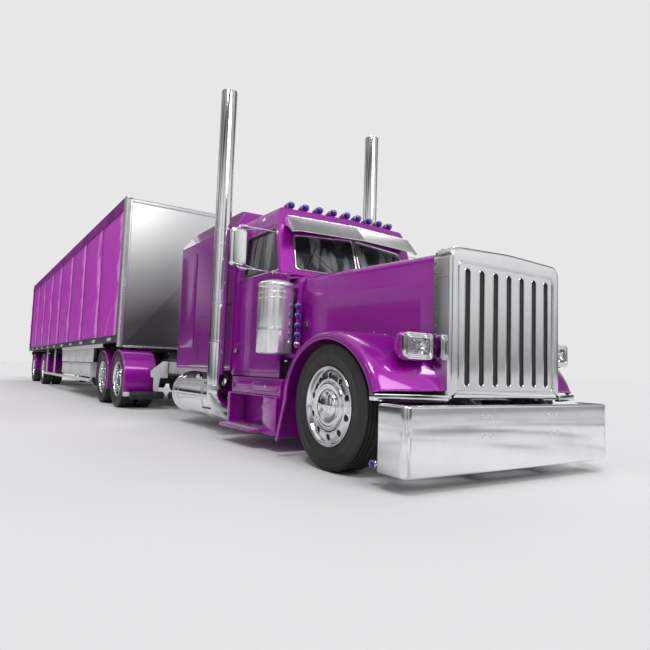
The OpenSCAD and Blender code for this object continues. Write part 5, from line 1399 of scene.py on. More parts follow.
def make_sleeper_trim():
    s = Shape()
    back, front, half = -4.500, -2.435, 1.000
    # raised panel inside the pressed outline
    for side in (-1, 1):
        p = rounded_rect(back + 0.134, 1.109, back + 0.736, 2.466, 0.068, 10)
        s.put(slab(p, "y", side * (half - 0.001), side * (half + 0.0045), 0.004, 4), 0)
        # luggage door low down, its latch and hinge
        q = rounded_rect(back + 0.92, 0.900, front - 0.10, 1.520, 0.040, 8)
        s.put(band(q, shrink(q, 0.006), "y", side * (half - 0.0005), side * (half + 0.0018)), 1)
        s.put(slab(rounded_rect(back + 1.86, 1.170, back + 1.905, 1.250, 0.008, 4), "y",
                   side * (half - 0.001), side * (half + 0.010), 0.004), 2)
        # drip bead along the roof cap
        s.put(tube([(back + 0.075, side * (half + 0.0005), 2.6175), (front - 0.004, side * (half + 0.0005),
                                                                     2.6175)], 0.006, 10), 0)
        # lower sill strip
        s.put(slab(rounded_rect(back + 0.075, 0.832, front - 0.01, 0.856, 0.006, 4), "y",
                   side * (half - 0.001), side * (half + 0.0045), 0.002), 2)
    s.make("sleeper_trim", "chassis", "purple_paint", [PAINT, RUBBER, CHROME], angle=40)


make_bumper()
make_screen()
make_visor()
make_lamps()
make_air_cleaners()
make_mirrors()
make_door_trim()
make_stacks()
make_tanks()
make_steps()
make_sleeper_trim()


# Trailer
def curtain_folds(seed):
    """Tension folds that fall from the front of each bay to its rear."""
    rnd = random.Random(seed)
    folds = []
    for bay in range(BAYS):
        for k in range(9):
            xc = CURTAIN_X[0] - BAY * (bay + rnd.uniform(0.25, 0.75))
            zc = lerp(CURTAIN_Z[0] + 0.2, CURTAIN_Z[1] - 0.15, (k + rnd.uniform(0.2, 0.8)) / 9)
            folds.append((bay, xc, zc, math.radians(rnd.uniform(28, 50)), rnd.uniform(0.55, 1.05),
                          rnd.uniform(0.030, 0.065), rnd.uniform(0.010, 0.019)))
    return folds


def make_curtains():
    nu, nv = 46, 60
    for side, name, seed in ((-1, "right", 11), (1, "left", 23)):
        u = np.arange(BAYS * nu + 1) / nu
        v = np.linspace(0, 1, nv + 1)
        U, V = np.meshgrid(u, v, indexing="ij")
        X = CURTAIN_X[0] - BAY * U
        Z = lerp(CURTAIN_Z[0], CURTAIN_Z[1], V)
        billow = np.abs(np.sin(np.pi * U)) ** 0.85
        out = 0.014 * billow * np.clip(np.sin(np.pi * np.clip(V, 0.02, 0.98)) * 2.2, 0, 1) ** 0.7
        hold = np.clip(billow * 1.6, 0, 1) * np.clip(np.minimum(V, 1 - V) / 0.05, 0, 1)
        for bay, xc, zc, a, length, w, amp in curtain_folds(seed):
            s = (Z - zc) * math.cos(a) - (X - xc) * math.sin(a)
            t = (Z - zc) * math.sin(a) + (X - xc) * math.cos(a)
            along = np.clip(1 - (t / length) ** 2, 0, 1) ** 1.5
            ridge = np.exp(-(np.where(s > 0, s / w,
                                      s / (w * 2.2))) ** 2) - 0.55 * np.exp(-((s - 1.7 * w) / (0.8 * w)) ** 2)
            out += amp * along * ridge * hold * (np.floor(U).astype(int) == bay)
        from_edge = (U - np.minimum(np.floor(U), BAYS - 1)) * BAY
        out += (0.013 + 0.004
                * np.sin(7 * V + 3 * np.floor(U))) * np.exp(-((from_edge - 0.115) / 0.050) ** 2) * hold
        out -= 0.004 * np.exp(-((from_edge - 0.225) / 0.045) ** 2) * hold
        # short vertical gathers at the hems
        out += 0.0022 * np.sin(U * 2 * np.pi * 7) * np.exp(-V / 0.05) * hold
        y = T_HALF - 0.040 + np.clip(out, -0.006, 0.040)
        verts = np.stack([X, side * y, Z], -1).reshape(-1, 3)
        n = nv + 1
        faces = []
        for i in range(BAYS * nu):
            for j in range(nv):
                q = (i * n + j, (i + 1) * n + j, (i + 1) * n + j + 1, i * n + j + 1)
                faces.append(q if side > 0 else q[::-1])
        c = Shape().add(verts, faces).make("curtain_" + name, "trailer", "curtain_fabric", CURTAIN,
                                           "trailer_curtains", angle=70)
        # welded seams between the bays, and the hem along the foot
        s = Shape()
        for i in range(BAYS + 1):
            x = CURTAIN_X[0] - BAY * i
            w = 0.030 if 0 < i < BAYS else 0.022
            cx = min(max(x, CURTAIN_X[1] + w), CURTAIN_X[0] - w)
            s.put(side_box(cx - w, cx + w, T_HALF - 0.041, T_HALF - 0.0315, CURTAIN_Z[0], CURTAIN_Z[1], side,
                           0.002), 0)
            s.put(side_box(cx - 0.003, cx + 0.003, T_HALF - 0.033, T_HALF - 0.0305, CURTAIN_Z[0],
                           CURTAIN_Z[1], side, 0.0005), 1)
        hem = [(x, side * (T_HALF - 0.033), CURTAIN_Z[0] + 0.012) for x in np.linspace(CURTAIN_X[0],
                                                                                       CURTAIN_X[1], 60)]
        s.put(tube(hem, 0.0085, 8), 0)
        seams = s.make("curtain_seams_" + name, "trailer", "curtain_fabric", [CURTAIN, DARKP])


def make_deck():
    """Side raves, boards and bearers, with the curtains' oval buckles."""
    s = Shape()
    x0, x1 = T_REAR, T_FRONT - 0.0703
    for side in (-1, 1):
        y = T_HALF - 0.006
        prof = rounded_poly([(y, DECK_LOW + 0.0005, 0.008), (y, DECK_HIGH, 0.010), (y - 0.085, DECK_HIGH, 0),
                             (y - 0.085, DECK_HIGH - 0.012, 0), (y - 0.012, DECK_HIGH - 0.014, 0.006),
                             (y - 0.012, DECK_LOW + 0.013, 0.006), (y - 0.085, DECK_LOW + 0.012, 0),
                             (y - 0.085, DECK_LOW + 0.0005, 0)], 4)
        s.put(slab(prof * [side, 1], "x", x0, x1, 0.0), 0)
        for k in range(10):
            bx = -7.85 - 1.57 * k
            oval = rounded_rect(bx - 0.170, 1.288, bx + 0.170, 1.352, 0.0315, 8)
            rings = [on_axis(shrink(oval, d), "y", side * (y + h)) for d, h in
                     ((0.0, -0.001), (0.0, 0.0018), (0.003, 0.0042), (0.008, 0.0060), (0.016, 0.0076),
                      (0.026, 0.0086))]
            s.put(flipped(rings_mesh(rings, True, (False, True)), side > 0), 1)
            s.put(side_box(bx - 0.040, bx + 0.040, y - 0.001, y + 0.0022, 1.350, 1.388, side, 0.001), 2)
    n_boards = 14
    w = 2.40 / n_boards
    for k in range(n_boards):
        a = -1.20 + k * w
        s.put(box((x0, a + 0.0015, DECK_HIGH - 0.030), (x1, a + w - 0.0015, DECK_HIGH - 0.0005), 0.0015), 3)
    for k in range(27):
        x = x1 - 0.35 - 0.6 * k
        if x > x0 + 0.1:
            s.put(box((x - 0.030, -1.26, DECK_LOW + 0.0005), (x + 0.030, 1.26, DECK_LOW + 0.007), 0.001), 0)
            s.put(box((x - 0.004, -1.26, DECK_LOW + 0.007), (x + 0.004, 1.26, DECK_HIGH - 0.031), 0.001), 0)
    s.make("deck", "trailer", "black_steel", [BLACK, WHITE, RUBBER, BOARD], "trailer_floor", angle=40)


def make_front_wall():
    s = Shape()
    w = T_FRONT - 0.070
    out = rounded_rect(-1.2245, 1.1525, 1.2245, 4.0650, 0.012, 4)
    s.put(slab(out, "x", w, T_FRONT - 0.012, 0.005, 3), 0)
    # pressed frame along the panel's edge, with a row of flat rivets
    a = rounded_rect(-1.17, 1.20, 1.17, 4.02, 0.03, 5)
    s.put(band(a, shrink(a, 0.010), "x", T_FRONT - 0.0125, T_FRONT - 0.0095, 0.001), 0)
    for side in (-1, 1):
        for k in range(29):
            rivet = (T_FRONT - 0.0122, side * 1.197, 1.22 + 0.0996 * k)
            s.put(dome(0.0055, 0.0022, 10, 2, rivet, (1, 0, 0)), 0)
        post = [(w - 0.090, -T_HALF, 0.004), (T_FRONT, -T_HALF, 0.045), (T_FRONT, -T_HALF + 0.052, 0.004),
                (T_FRONT - 0.007, -T_HALF + 0.054, 0), (T_FRONT - 0.007, -T_HALF + 0.058, 0),
                (T_FRONT, -T_HALF + 0.060, 0.003), (T_FRONT, -T_HALF + 0.092, 0.008),
                (T_FRONT - 0.030, -T_HALF + 0.110, 0.006), (w, -T_HALF + 0.110, 0), (w, -T_HALF + 0.040, 0),
                (w - 0.090, -T_HALF + 0.040, 0)]
        full = rounded_poly(post, 7)
        foot = np.array([(max(px, w + 0.0005), py) for px, py in full])
        full, foot = full * [1, -side], foot * [1, -side]
        once = np.sort(np.unique(foot, axis=0, return_index=True)[1])
        s.put(slab(full, "z", DECK_HIGH + 0.0003, T_TOP - 0.050, 0.0), 1)
        s.put(slab(foot[once], "z", 1.160, DECK_HIGH + 0.0003, 0.0), 1)
        # corner casting at the top
        cap = rounded_poly([(w - 0.080, -T_HALF + 0.0005, 0.006), (T_FRONT - 0.0005, -T_HALF + 0.0005, 0.045),
                            (T_FRONT - 0.0005, -T_HALF + 0.125, 0.010),
                            (w - 0.080, -T_HALF + 0.125, 0.004)], 7)
        s.put(slab(cap * [1, -side], "z", T_TOP - 0.0496, T_TOP - 0.0005, 0.012, 4), 1)
    s.put(slab(rounded_rect(-1.17, T_TOP - 0.105, 1.17, T_TOP - 0.0505, 0.01, 4), "x", T_FRONT - 0.013,
               T_FRONT - 0.002, 0.004, 3), 0)
    s.put(box((T_FRONT - 0.0118, -1.184, 1.153), (T_FRONT - 0.003, 1.184, 1.192), 0.003, "x"), 1)
    s.make("front_wall", "trailer", "white_panel", [WALL_PAINTED_SHADE, SILVER], "trailer_front_wall", angle=40)


def make_roof():
    s = Shape()
    half = T_HALF - 0.020
    edge = [(-half, T_TOP - 0.0497, 0.004), (-half, T_TOP - 0.006, 0.020), (-half + 0.10, T_TOP, 0.3),
            (half - 0.10, T_TOP, 0.3), (half, T_TOP - 0.006, 0.020), (half, T_TOP - 0.0497, 0.004)]
    s.put(slab(rounded_poly(edge, 5)[::-1], "x", T_REAR, T_FRONT - 0.155, 0.004, 3), 0)
    s.put(slab(rounded_rect(T_FRONT - 0.157, -T_HALF + 0.127, T_FRONT, T_HALF - 0.127, 0.012, 4), "z",
               T_TOP - 0.0496, T_TOP - 0.001, 0.018, 5), 0)
    s.make("roof", "trailer", "white_panel", [WHITE, SILVER], "trailer_roof", angle=40)


def make_posts():
    s = Shape()
    x1, x0 = T_FRONT - 0.1603, T_REAR + 0.1003
    for side in (-1, 1):
        # top rail with its cover: a gently crowned strip in bays, and the roof's edge moulding
        for i in range(BAYS):
            a, b = CURTAIN_X[0] - BAY * i, CURTAIN_X[0] - BAY * (i + 1)
            a, b = min(a, x1) - (0.004 if i else 0), max(b, x0) + (0.004 if i < BAYS - 1 else 0)
            rings = []
            for t in np.linspace(0, 1, 15):
                x = lerp(a, b, t)
                c = math.sin(math.pi * t) ** 0.5 * 0.004
                prof = [(T_HALF - 0.050, 3.8805), (T_HALF - 0.014 - c, 3.8805),
                        (T_HALF - 0.008 + c * 0.3, 3.884), (T_HALF - 0.006 + c * 0.5, 3.893),
                        (T_HALF - 0.009 + c * 0.5, 3.902), (T_HALF - 0.012 + c * 0.4, 3.912),
                        (T_HALF - 0.007 + c, 3.960), (T_HALF - 0.006 + c, 4.005), (T_HALF - 0.010 + c, 4.045),
                        (T_HALF - 0.012, 4.0645), (T_HALF - 0.050, 4.0645)]
                rings.append([(x, side * py, pz) for py, pz in prof])
            s.put(flipped(rings_mesh(rings), side > 0), 0)
        mould = rounded_poly([(T_HALF - 0.0195, 4.052, 0.002), (T_HALF - 0.003, 4.050, 0.006),
                              (T_HALF - 0.002, 4.096, 0.010), (T_HALF - 0.012, 4.1145, 0.008),
                              (T_HALF - 0.0195, 4.1145, 0)], 4)
        s.put(slab(mould * [side, 1], "x", x0, x1, 0.0), 0)
        # pillars inside, with board pockets, and their heads on the rail
        for i in range(1, BAYS):
            x = T_FRONT - 0.070 - (T_FRONT - T_REAR - 0.140) / BAYS * i
            s.put(side_box(x - 0.040, x + 0.040, 1.165, 1.233, DECK_HIGH + 0.0003, 3.905, side, 0.006), 1)
            s.put(side_box(x - 0.038, x + 0.038, 1.166, 1.243, 3.890, 4.000, side, 0.006), 1)
            for z in (1.55, 2.15, 2.75, 3.35):
                for d in (-1, 1):
                    s.put(side_box(x + d * 0.040 - 0.012, x + d * 0.040 + 0.012, 1.172, 1.226, z, z + 0.16,
                                   side, 0.003), 1)
        s.put(side_box(T_REAR + 0.0003, T_REAR + 0.100, T_HALF - 0.060, T_HALF, DECK_HIGH + 0.0003,
                       T_TOP - 0.0503, side, 0.008), 2)
    s.put(box((T_REAR + 0.0003, -1.2345, 4.010), (T_REAR + 0.100, 1.2345, 4.0647), 0.004, "y"), 2)
    s.make("posts_and_rails", "trailer", "dark_purple_paint", [VALANCE, SILVER, VALANCE], "trailer_posts",
           angle=35)


def guard_arc(x, a0, a1, side, s):
    """Half-round guard over a twin wheel: thin skin, turned side flange and rolled edges."""
    R, t, yi, yo = 0.566, 0.0155, 0.620, 1.2255
    prof = [(R + 0.0005, yi + 0.006), (R + 0.004, yi + 0.001), (R + 0.012, yi + 0.001), (R + t, yi + 0.006)]
    prof += [(R + t, yi + 0.16), (R + t, yo - 0.030)]
    prof += [(R + t - 0.026 * (1 - math.cos(b)), yo - 0.026 + 0.026 * math.sin(b))
             for b in np.linspace(0.15, math.pi / 2, 6)]
    prof += [(R - 0.016, yo + 0.0005), (R - 0.0205, yo - 0.0015), (R - 0.0215, yo - 0.0055),
             (R - 0.0185, yo - 0.0085), (R - 0.013, yo - 0.0065), (R - 0.004, yo - 0.0125),
             (R + 0.0005, yo - 0.024)]
    n = int(abs(a1 - a0) / 2.4)
    rings = []
    for k in range(n + 1):
        a = math.radians(lerp(a0, a1, k / n))
        rings.append([(x + r * math.cos(a), side * y, TYRE_R + r * math.sin(a)) for r, y in prof])
    s.put(flipped(rings_mesh(rings), side < 0))
    r = R + t / 2
    for a in (math.radians(a0), math.radians(a1)):
        s.put(tube([(x + r * math.cos(a), side * y, TYRE_R + r * math.sin(a))
                    for y in (yi + 0.004, yo - 0.006)],
                   0.0095, 10))


def make_guards():
    d, t = Shape(), Shape()
    for side in (-1, 1):
        for x in DRIVE_X:
            guard_arc(x, -22, 196, side, d)
            xb = x + (0.543 if x > KINGPIN else -0.543)
            d.put(tube([(xb, side * RAIL_OUT, 0.736), (xb, side * 0.6605, 0.736)], 0.014, 16), 1)
            d.put(lathe([(0, 0.012), (0.028, 0.012), (0.030, 0.008), (0.030, 0.0)], 20,
                        (xb, side * RAIL_OUT, 0.736), (0, side, 0)), 1)
            d.put(side_box(xb - 0.022, xb + 0.022, 0.628, 0.652, 0.716, 0.756, side, 0.004), 1)
        for x in TRAILER_X:
            guard_arc(x, -8, 188, side, t)
            t.put(side_box(x - 0.030, x + 0.030, BEAM_OUT, 0.640, TYRE_R + 0.580, TYRE_R + 0.5955, side), 1)
            t.put(side_box(x - 0.022, x + 0.022, 0.600, 0.900, TYRE_R + 0.5795, TYRE_R + 0.5905, side), 1)
    d.make("drive_guards", "chassis", "purple_paint", [PAINT, BLACK], "drive_fenders", angle=38)
    t.make("trailer_guards", "trailer", "purple_paint", [PAINT, BLACK], "trailer_fenders", angle=38)


def make_side_boxes():
    s = Shape()
    back, rail_front, skirt_front, locker_front = -14.000, -8.450, -9.450, -9.800
    guard_back, y = -17.850, T_HALF
    for side in (-1, 1):
        rail = rounded_poly([(y - 0.0125, 1.1645, 0.010), (y - 0.0125, 1.2495, 0.010), (y - 0.060, 1.2495, 0),
                             (y - 0.060, 1.240, 0), (y - 0.022, 1.239, 0.004), (y - 0.022, 1.176, 0.004),
                             (y - 0.060, 1.174, 0), (y - 0.060, 1.1645, 0)], 4)
        s.put(slab(rail * [side, 1], "x", back, rail_front, 0.0), 0)
        # skirt of pressed panels
        n = 4
        w = (skirt_front - back) / n
        for k in range(n):
            a, b = back + w * k + 0.002, back + w * (k + 1) - 0.002
            o = rounded_rect(a, 0.8505, b, 1.1635, 0.012, 4)
            y0, y1 = span(y - 0.042, y - 0.030, side)
            s.put(slab(o, "y", y0, y1, 0.003, 3), 0)
            p = rounded_rect(a + 0.05, 0.905, b - 0.05, 1.110, 0.03, 6)
            y0, y1 = span(y - 0.032, y - 0.0265, side)
            s.put(slab(p, "y", y0, y1, 0.004, 4), 0)
            for xx in (a + 0.024, b - 0.024):
                for z in (0.880, 1.007, 1.135):
                    s.put(dome(0.0075, 0.004, 10, 2, (xx, side * (y - 0.0302), z), (0, side, 0)), 1)
        # locker with three lids
        prof = rounded_poly([(y - 0.050, 0.500, 0.040), (0.810, 0.500, 0.020), (0.810, 0.846, 0.003),
                             (y - 0.050, 0.846, 0.006)], 6)
        s.put(slab(prof * [side, 1], "x", back, locker_front, 0.004), 0)
        w = (locker_front - back) / 3
        for k in range(3):
            a, b = back + w * k + 0.04, back + w * (k + 1) - 0.04
            y0, y1 = span(y - 0.0505, y - 0.0465, side)
            lid = rounded_rect(a, 0.555, b, 0.830, 0.02, 5)
            s.put(slab(lid, "y", y0, y1, 0.003, 3), 0)
            y0, y1 = span(y - 0.0503, y - 0.0493, side)
            s.put(slab(shrink(lid, -0.005), "y", y0, y1, 0.0), 1)
            for q in (0.22, 0.78):
                xx = lerp(a, b, q)
                s.put(side_box(xx - 0.035, xx + 0.035, y - 0.047, y - 0.040, 0.580, 0.625, side), 2)
                s.put(side_box(xx - 0.010, xx + 0.010, y - 0.041, y - 0.034, 0.590, 0.640, side), 2)
        for xx in (back + 0.100, locker_front - 0.200):
            s.put(side_box(xx, xx + 0.100, 0.541, 0.830, 0.841, 0.960, side, 0.004), 1)
        # guard rail below, its posts and end caps
        g = rounded_rect(y - 0.070, 0.395, y - 0.030, 0.470, 0.012, 4)
        s.put(slab(g * [side, 1], "x", guard_back, locker_front, 0.003), 0)
        for xx in (guard_back, locker_front):
            s.put(side_box(xx - 0.012, xx + 0.012, y - 0.072, y - 0.028, 0.393, 0.472, side, 0.008), 0)
        for xx in (locker_front - 0.060, (locker_front + back) / 2, back + 0.020):
            s.put(side_box(xx - 0.030, xx + 0.030, y - 0.110, y - 0.071, 0.400, 0.505, side, 0.004), 0)
        for xx in (guard_back + 0.060, (guard_back + back) / 2):
            s.put(side_box(xx - 0.030, xx + 0.030, y - 0.110, y - 0.071, 0.400, DECK_LOW, side, 0.004), 0)
    s.make("underside_boxes", "trailer", "white_panel", [LIGHT, BLACK, CHROME], "side_boxes", angle=35)


def make_trailer_frame():
    s = Shape()
    front, rear = T_FRONT - 0.070, T_REAR + 0.150
    low = [(front, 1.210), (KINGPIN - 1.350, 1.210), (KINGPIN - 2.000, 0.870), (rear, 0.870)]
    for side in (-1, 1):
        web = np.array(low + [(rear, DECK_LOW), (front, DECK_LOW)])
        s.put(slab(web[::-1], "y", side * BEAM_Y - 0.006, side * BEAM_Y + 0.006, 0.0))
        for pts in ([(x, z + 0.007) for x, z in low],
                    [(rear, DECK_LOW - 0.0075), (front, DECK_LOW - 0.0075)]):
            rings = [[(x, side * BEAM_Y + dy, z + dz) for dy, dz in
                      ((-0.060, -0.007), (0.060, -0.007), (0.060, 0.007), (-0.060, 0.007))] for x, z in pts]
            s.put(flipped(rings_mesh(rings), pts[0][0] < pts[-1][0]))
        # stiffeners on the web
        for k in range(20):
            x = KINGPIN - 2.25 - 0.66 * k
            s.put(side_box(x - 0.005, x + 0.005, BEAM_Y - 0.052, BEAM_Y + 0.052, 0.884, 1.2355, side, 0.001))
    s.put(box((KINGPIN - 1.000, -BEAM_Y - 0.500, 1.150), (front, BEAM_Y + 0.500, 1.160), 0.003))
    for x in (KINGPIN - 0.95, KINGPIN - 0.45, KINGPIN + 0.35, front - 0.05):
        s.put(box((x - 0.035, -BEAM_Y - 0.49, 1.160), (x + 0.035, BEAM_Y + 0.49, 1.210), 0.003))
    s.put(lathe([(0, -0.080), (0.0235, -0.080), (0.0254, -0.076), (0.0254, -0.052), (0.019, -0.046),
                 (0.019, -0.022), (0.0254, -0.016), (0.0254, 0.004), (0, 0.004)][::-1], 40,
                 (KINGPIN, 0, 1.150)), 1)
    for i in range(7):
        x = KINGPIN - 1.950 - i * (T_FRONT - T_REAR - 3.900) / 6.6
        for z in (0.962, 1.150):
            s.put(box((x, -BEAM_Y + 0.007, z), (x + 0.080, BEAM_Y - 0.007, z + 0.008), 0.001))
        s.put(box((x + 0.034, -BEAM_Y + 0.007, 0.970), (x + 0.042, BEAM_Y - 0.007, 1.150), 0.001))
    # air reservoirs between the beams
    for y in (-0.20, 0.20):
        prof = [(0, 0.0), (0.08, 0.006), (0.115, 0.03), (0.125, 0.06), (0.125, 0.74), (0.115, 0.77),
                (0.08, 0.794), (0, 0.80)]
        s.put(lathe(prof, 32, (-17.2, y, 1.02), (1, 0, 0)), 2)
        for x in (-17.05, -16.55):
            s.put(lathe([(0.124, -0.02), (0.129, -0.018), (0.129, 0.018), (0.124, 0.02)], 32, (x, y, 1.02),
                        (1, 0, 0)), 0)
    s.make("trailer_beams", "trailer", "black_steel", [BLACK, CHROME, ENGINE], "trailer_frame", angle=35)


def make_landing_gear():
    s = Shape()
    x = KINGPIN - 2.700
    for side in (-1, 1):
        for half, depth, r, n, z0, z1, edge in ((0.055, 0.050, 0.012, 4, 0.560, 1.180, 0.0),
                                                (0.042, 0.037, 0.008, 4, 0.330, 0.562, 0.0),
                                                (0.130, 0.080, 0.030, 5, 0.300, 0.316, 0.004),
                                                (0.080, 0.050, 0.020, 5, 0.314, 0.334, 0.006)):
            a, b = span(0.690 - depth, 0.690 + depth, side)
            s.put(slab(rounded_rect(x - half, a, x + half, b, r, n), "z", z0, z1, edge))
        s.put(side_box(x - 0.060, x + 0.060, 0.634, 0.746, 0.552, 0.590, side, 0.006))
        s.put(side_box(x - 0.055, x + 0.055, BEAM_OUT, 0.650, 1.060, 1.180, side, 0.004))
        for z in (0.72, 0.95):
            s.put(side_box(x - 0.062, x + 0.062, 0.632, 0.748, z, z + 0.02, side, 0.004))
        s.put(tube([(x - 0.03, side * 0.64, 0.70), (x - 0.52, side * 0.56, 1.10)], 0.018, 12))
    s.put(tube([(x, -0.645, 0.640), (x, 0.645, 0.640)], 0.024, 18))
    s.put(tube([(x + 0.02, -0.64, 0.90), (x + 0.02, 0.64, 0.62)], 0.014, 12))
    # gearbox and folded crank on the right-hand leg
    s.put(side_box(x - 0.070, x + 0.070, 0.740, 0.800, 0.860, 1.040, -1, 0.010))
    s.put(tube([(x, -0.800, 0.98), (x, -0.850, 0.98)], 0.016, 14), 1)
    s.put(tube(bent([(x, -0.842, 0.98), (x, -0.842, 0.72), (x, -0.900, 0.72)], 0.03), 0.010, 12), 1)
    s.make("support_legs", "trailer", "black_steel", [BLACK, SILVER], "landing_gear", angle=35)


def make_rear():
    """Rear underrun guard, lamps and mud flaps."""
    s = Shape()
    s.put(slab(rounded_rect(-1.150, 0.460, 1.150, 0.560, 0.020, 5), "x", T_REAR + 0.010, T_REAR + 0.110,
               0.014, 4), 0)
    for k in range(9):
        y = -1.02 + 0.255 * k
        s.put(box((T_REAR + 0.0065, y - 0.10, 0.485), (T_REAR + 0.0115, y + 0.10, 0.535), 0.001, "x"),
              2 if k % 2 else 3)
    for side in (-1, 1):
        s.put(side_box(T_REAR + 0.030, T_REAR + 0.110, 0.540, 0.620, 0.555, DECK_LOW, side, 0.006), 0)
        # lamp board below the deck
        s.put(side_box(T_REAR + 0.020, T_REAR + 0.100, 0.640, 1.180, 1.090, 1.230, side, 0.012), 0)
        r = 0.045
        for k, m in enumerate((2, 4, 2)):
            y = side * (1.110 - 0.125 * k)
            s.put(lathe([(0, 0.012), (r * 0.5, 0.011), (r * 0.85, 0.007), (r * 0.95, 0.001), (r, -0.001)], 28,
                        (T_REAR + 0.020, y, 1.160), (-1, 0, 0)), m)
            s.put(lathe([(r * 0.99, 0.004), (r * 1.08, 0.005), (r * 1.12, 0.001), (r * 1.12, -0.003)], 28,
                        (T_REAR + 0.020, y, 1.160), (-1, 0, 0)), 5)
        # mud flap with its hanger
        y0, y1 = span(0.620, 1.200, side)
        flap = rounded_rect(y0, 0.330, y1, 1.190, 0.025, 5)
        s.put(slab(flap, "x", T_REAR + 0.640, T_REAR + 0.652, 0.002), 1)
        for k in range(11):
            yy = y0 + 0.06 + 0.046 * k
            s.put(tube([(T_REAR + 0.6395, yy, 0.37), (T_REAR + 0.6395, yy, 1.10)], 0.0028, 6), 1)
        s.put(side_box(T_REAR + 0.640, T_REAR + 0.700, BEAM_OUT, 1.200, 1.190, 1.240, side, 0.006), 0)
        s.put(side_box(T_REAR + 0.634, T_REAR + 0.640, 0.640, 1.180, 1.130, 1.180, side, 0.002), 5)
    s.make("rear_guard_set", "trailer", "black_steel", [BLACK, RUBBER, REDLENS, WHITE, AMBER, CHROME],
           "rear_guard", angle=35)


def make_reservoirs():
    """Air reservoirs across the frame ahead of the drive wheels, with hangers and outer brackets."""
    s = Shape()
    x, z, r = DRIVE_X[0] + 0.680, 0.260, 0.075
    for side in (-1, 1):
        for y0, y1 in ((0.490, 1.120), (0.050, 0.405)):
            prof = [(0, 0), (0.030, 0.002), (0.058, 0.012), (0.071, 0.026), (r, 0.040), (r, y1 - y0 - 0.040),
                    (0.071, y1 - y0 - 0.026), (0.058, y1 - y0 - 0.012), (0.030, y1 - y0 - 0.002),
                    (0, y1 - y0)]
            s.put(lathe(prof, 40, (x, side * y0, z), (0, side, 0)), 0)
            for q in (0.28, 0.72):
                c = lerp(y0, y1, q)
                s.put(strap(r, 0.0035, 0.014, 40, (x, side * c, z), (0, side, 0)), 1)
            s.put(lathe([(0, 0.020), (0.010, 0.019), (0.010, 0.0), (0.016, -0.001)], 14,
                        (x, side * (y1 - 0.001), z + 0.020), (0, side, 0)), 2)
        plate = rounded_poly([(RAIL_OUT, 0.905, 0.004), (0.540, 0.905, 0.020), (0.760, 0.720, 0.020),
                              (0.760, 0.604, 0.020), (0.700, 0.590, 0.006), (0.700, 0.420, 0.030),
                              (0.686, 0.300, 0.010), (0.594, 0.300, 0.010), (0.600, 0.400, 0.030),
                              (0.580, 0.590, 0.020), (RAIL_OUT, 0.590, 0.004)], 5)
        s.put(slab(plate * [side, 1], "x", x - 0.007, x + 0.007, 0.002), 3)
        s.put(side_box(x - 0.045, x + 0.007, RAIL_OUT, 0.440, 0.600, 0.895, side, 0.002), 3)
        for zz in (0.650, 0.745, 0.850):
            s.put(dome(0.012, 0.007, 6, 2, (x - 0.026, side * 0.440, zz), (0, side, 0)), 1)
        s.put(side_box(x - 0.007, x + 0.007, 0.200, 0.250, 0.320, 0.650, side, 0.002), 1)
        # bracket between the reservoir's end and the foot of the wheel guard
        out = rounded_rect(x - 0.140, 0.240, x + 0.014, 0.318, 0.012, 4)
        y0, y1 = span(1.1305, 1.2165, side)
        s.put(slab(out, "y", y0, y1, 0.004), 4)
        # grey plate along the rail behind the sleeper
        y0, y1 = span(RAIL_OUT, 0.4365, side)
        s.put(slab(rounded_rect(x + 0.060, 0.690, -4.600, 0.900, 0.020, 5), "y", y0, y1, 0.002), 4)
        for k in range(8):
            for zz in (0.725, 0.865):
                s.put(dome(0.011, 0.006, 6, 2, (-4.70 - 0.245 * k, side * 0.4365, zz), (0, side, 0)), 1)
    s.make("air_reservoirs", "chassis", "black_steel", [DARK, BLACK, CHROME, WHITE, LIGHT], angle=35)


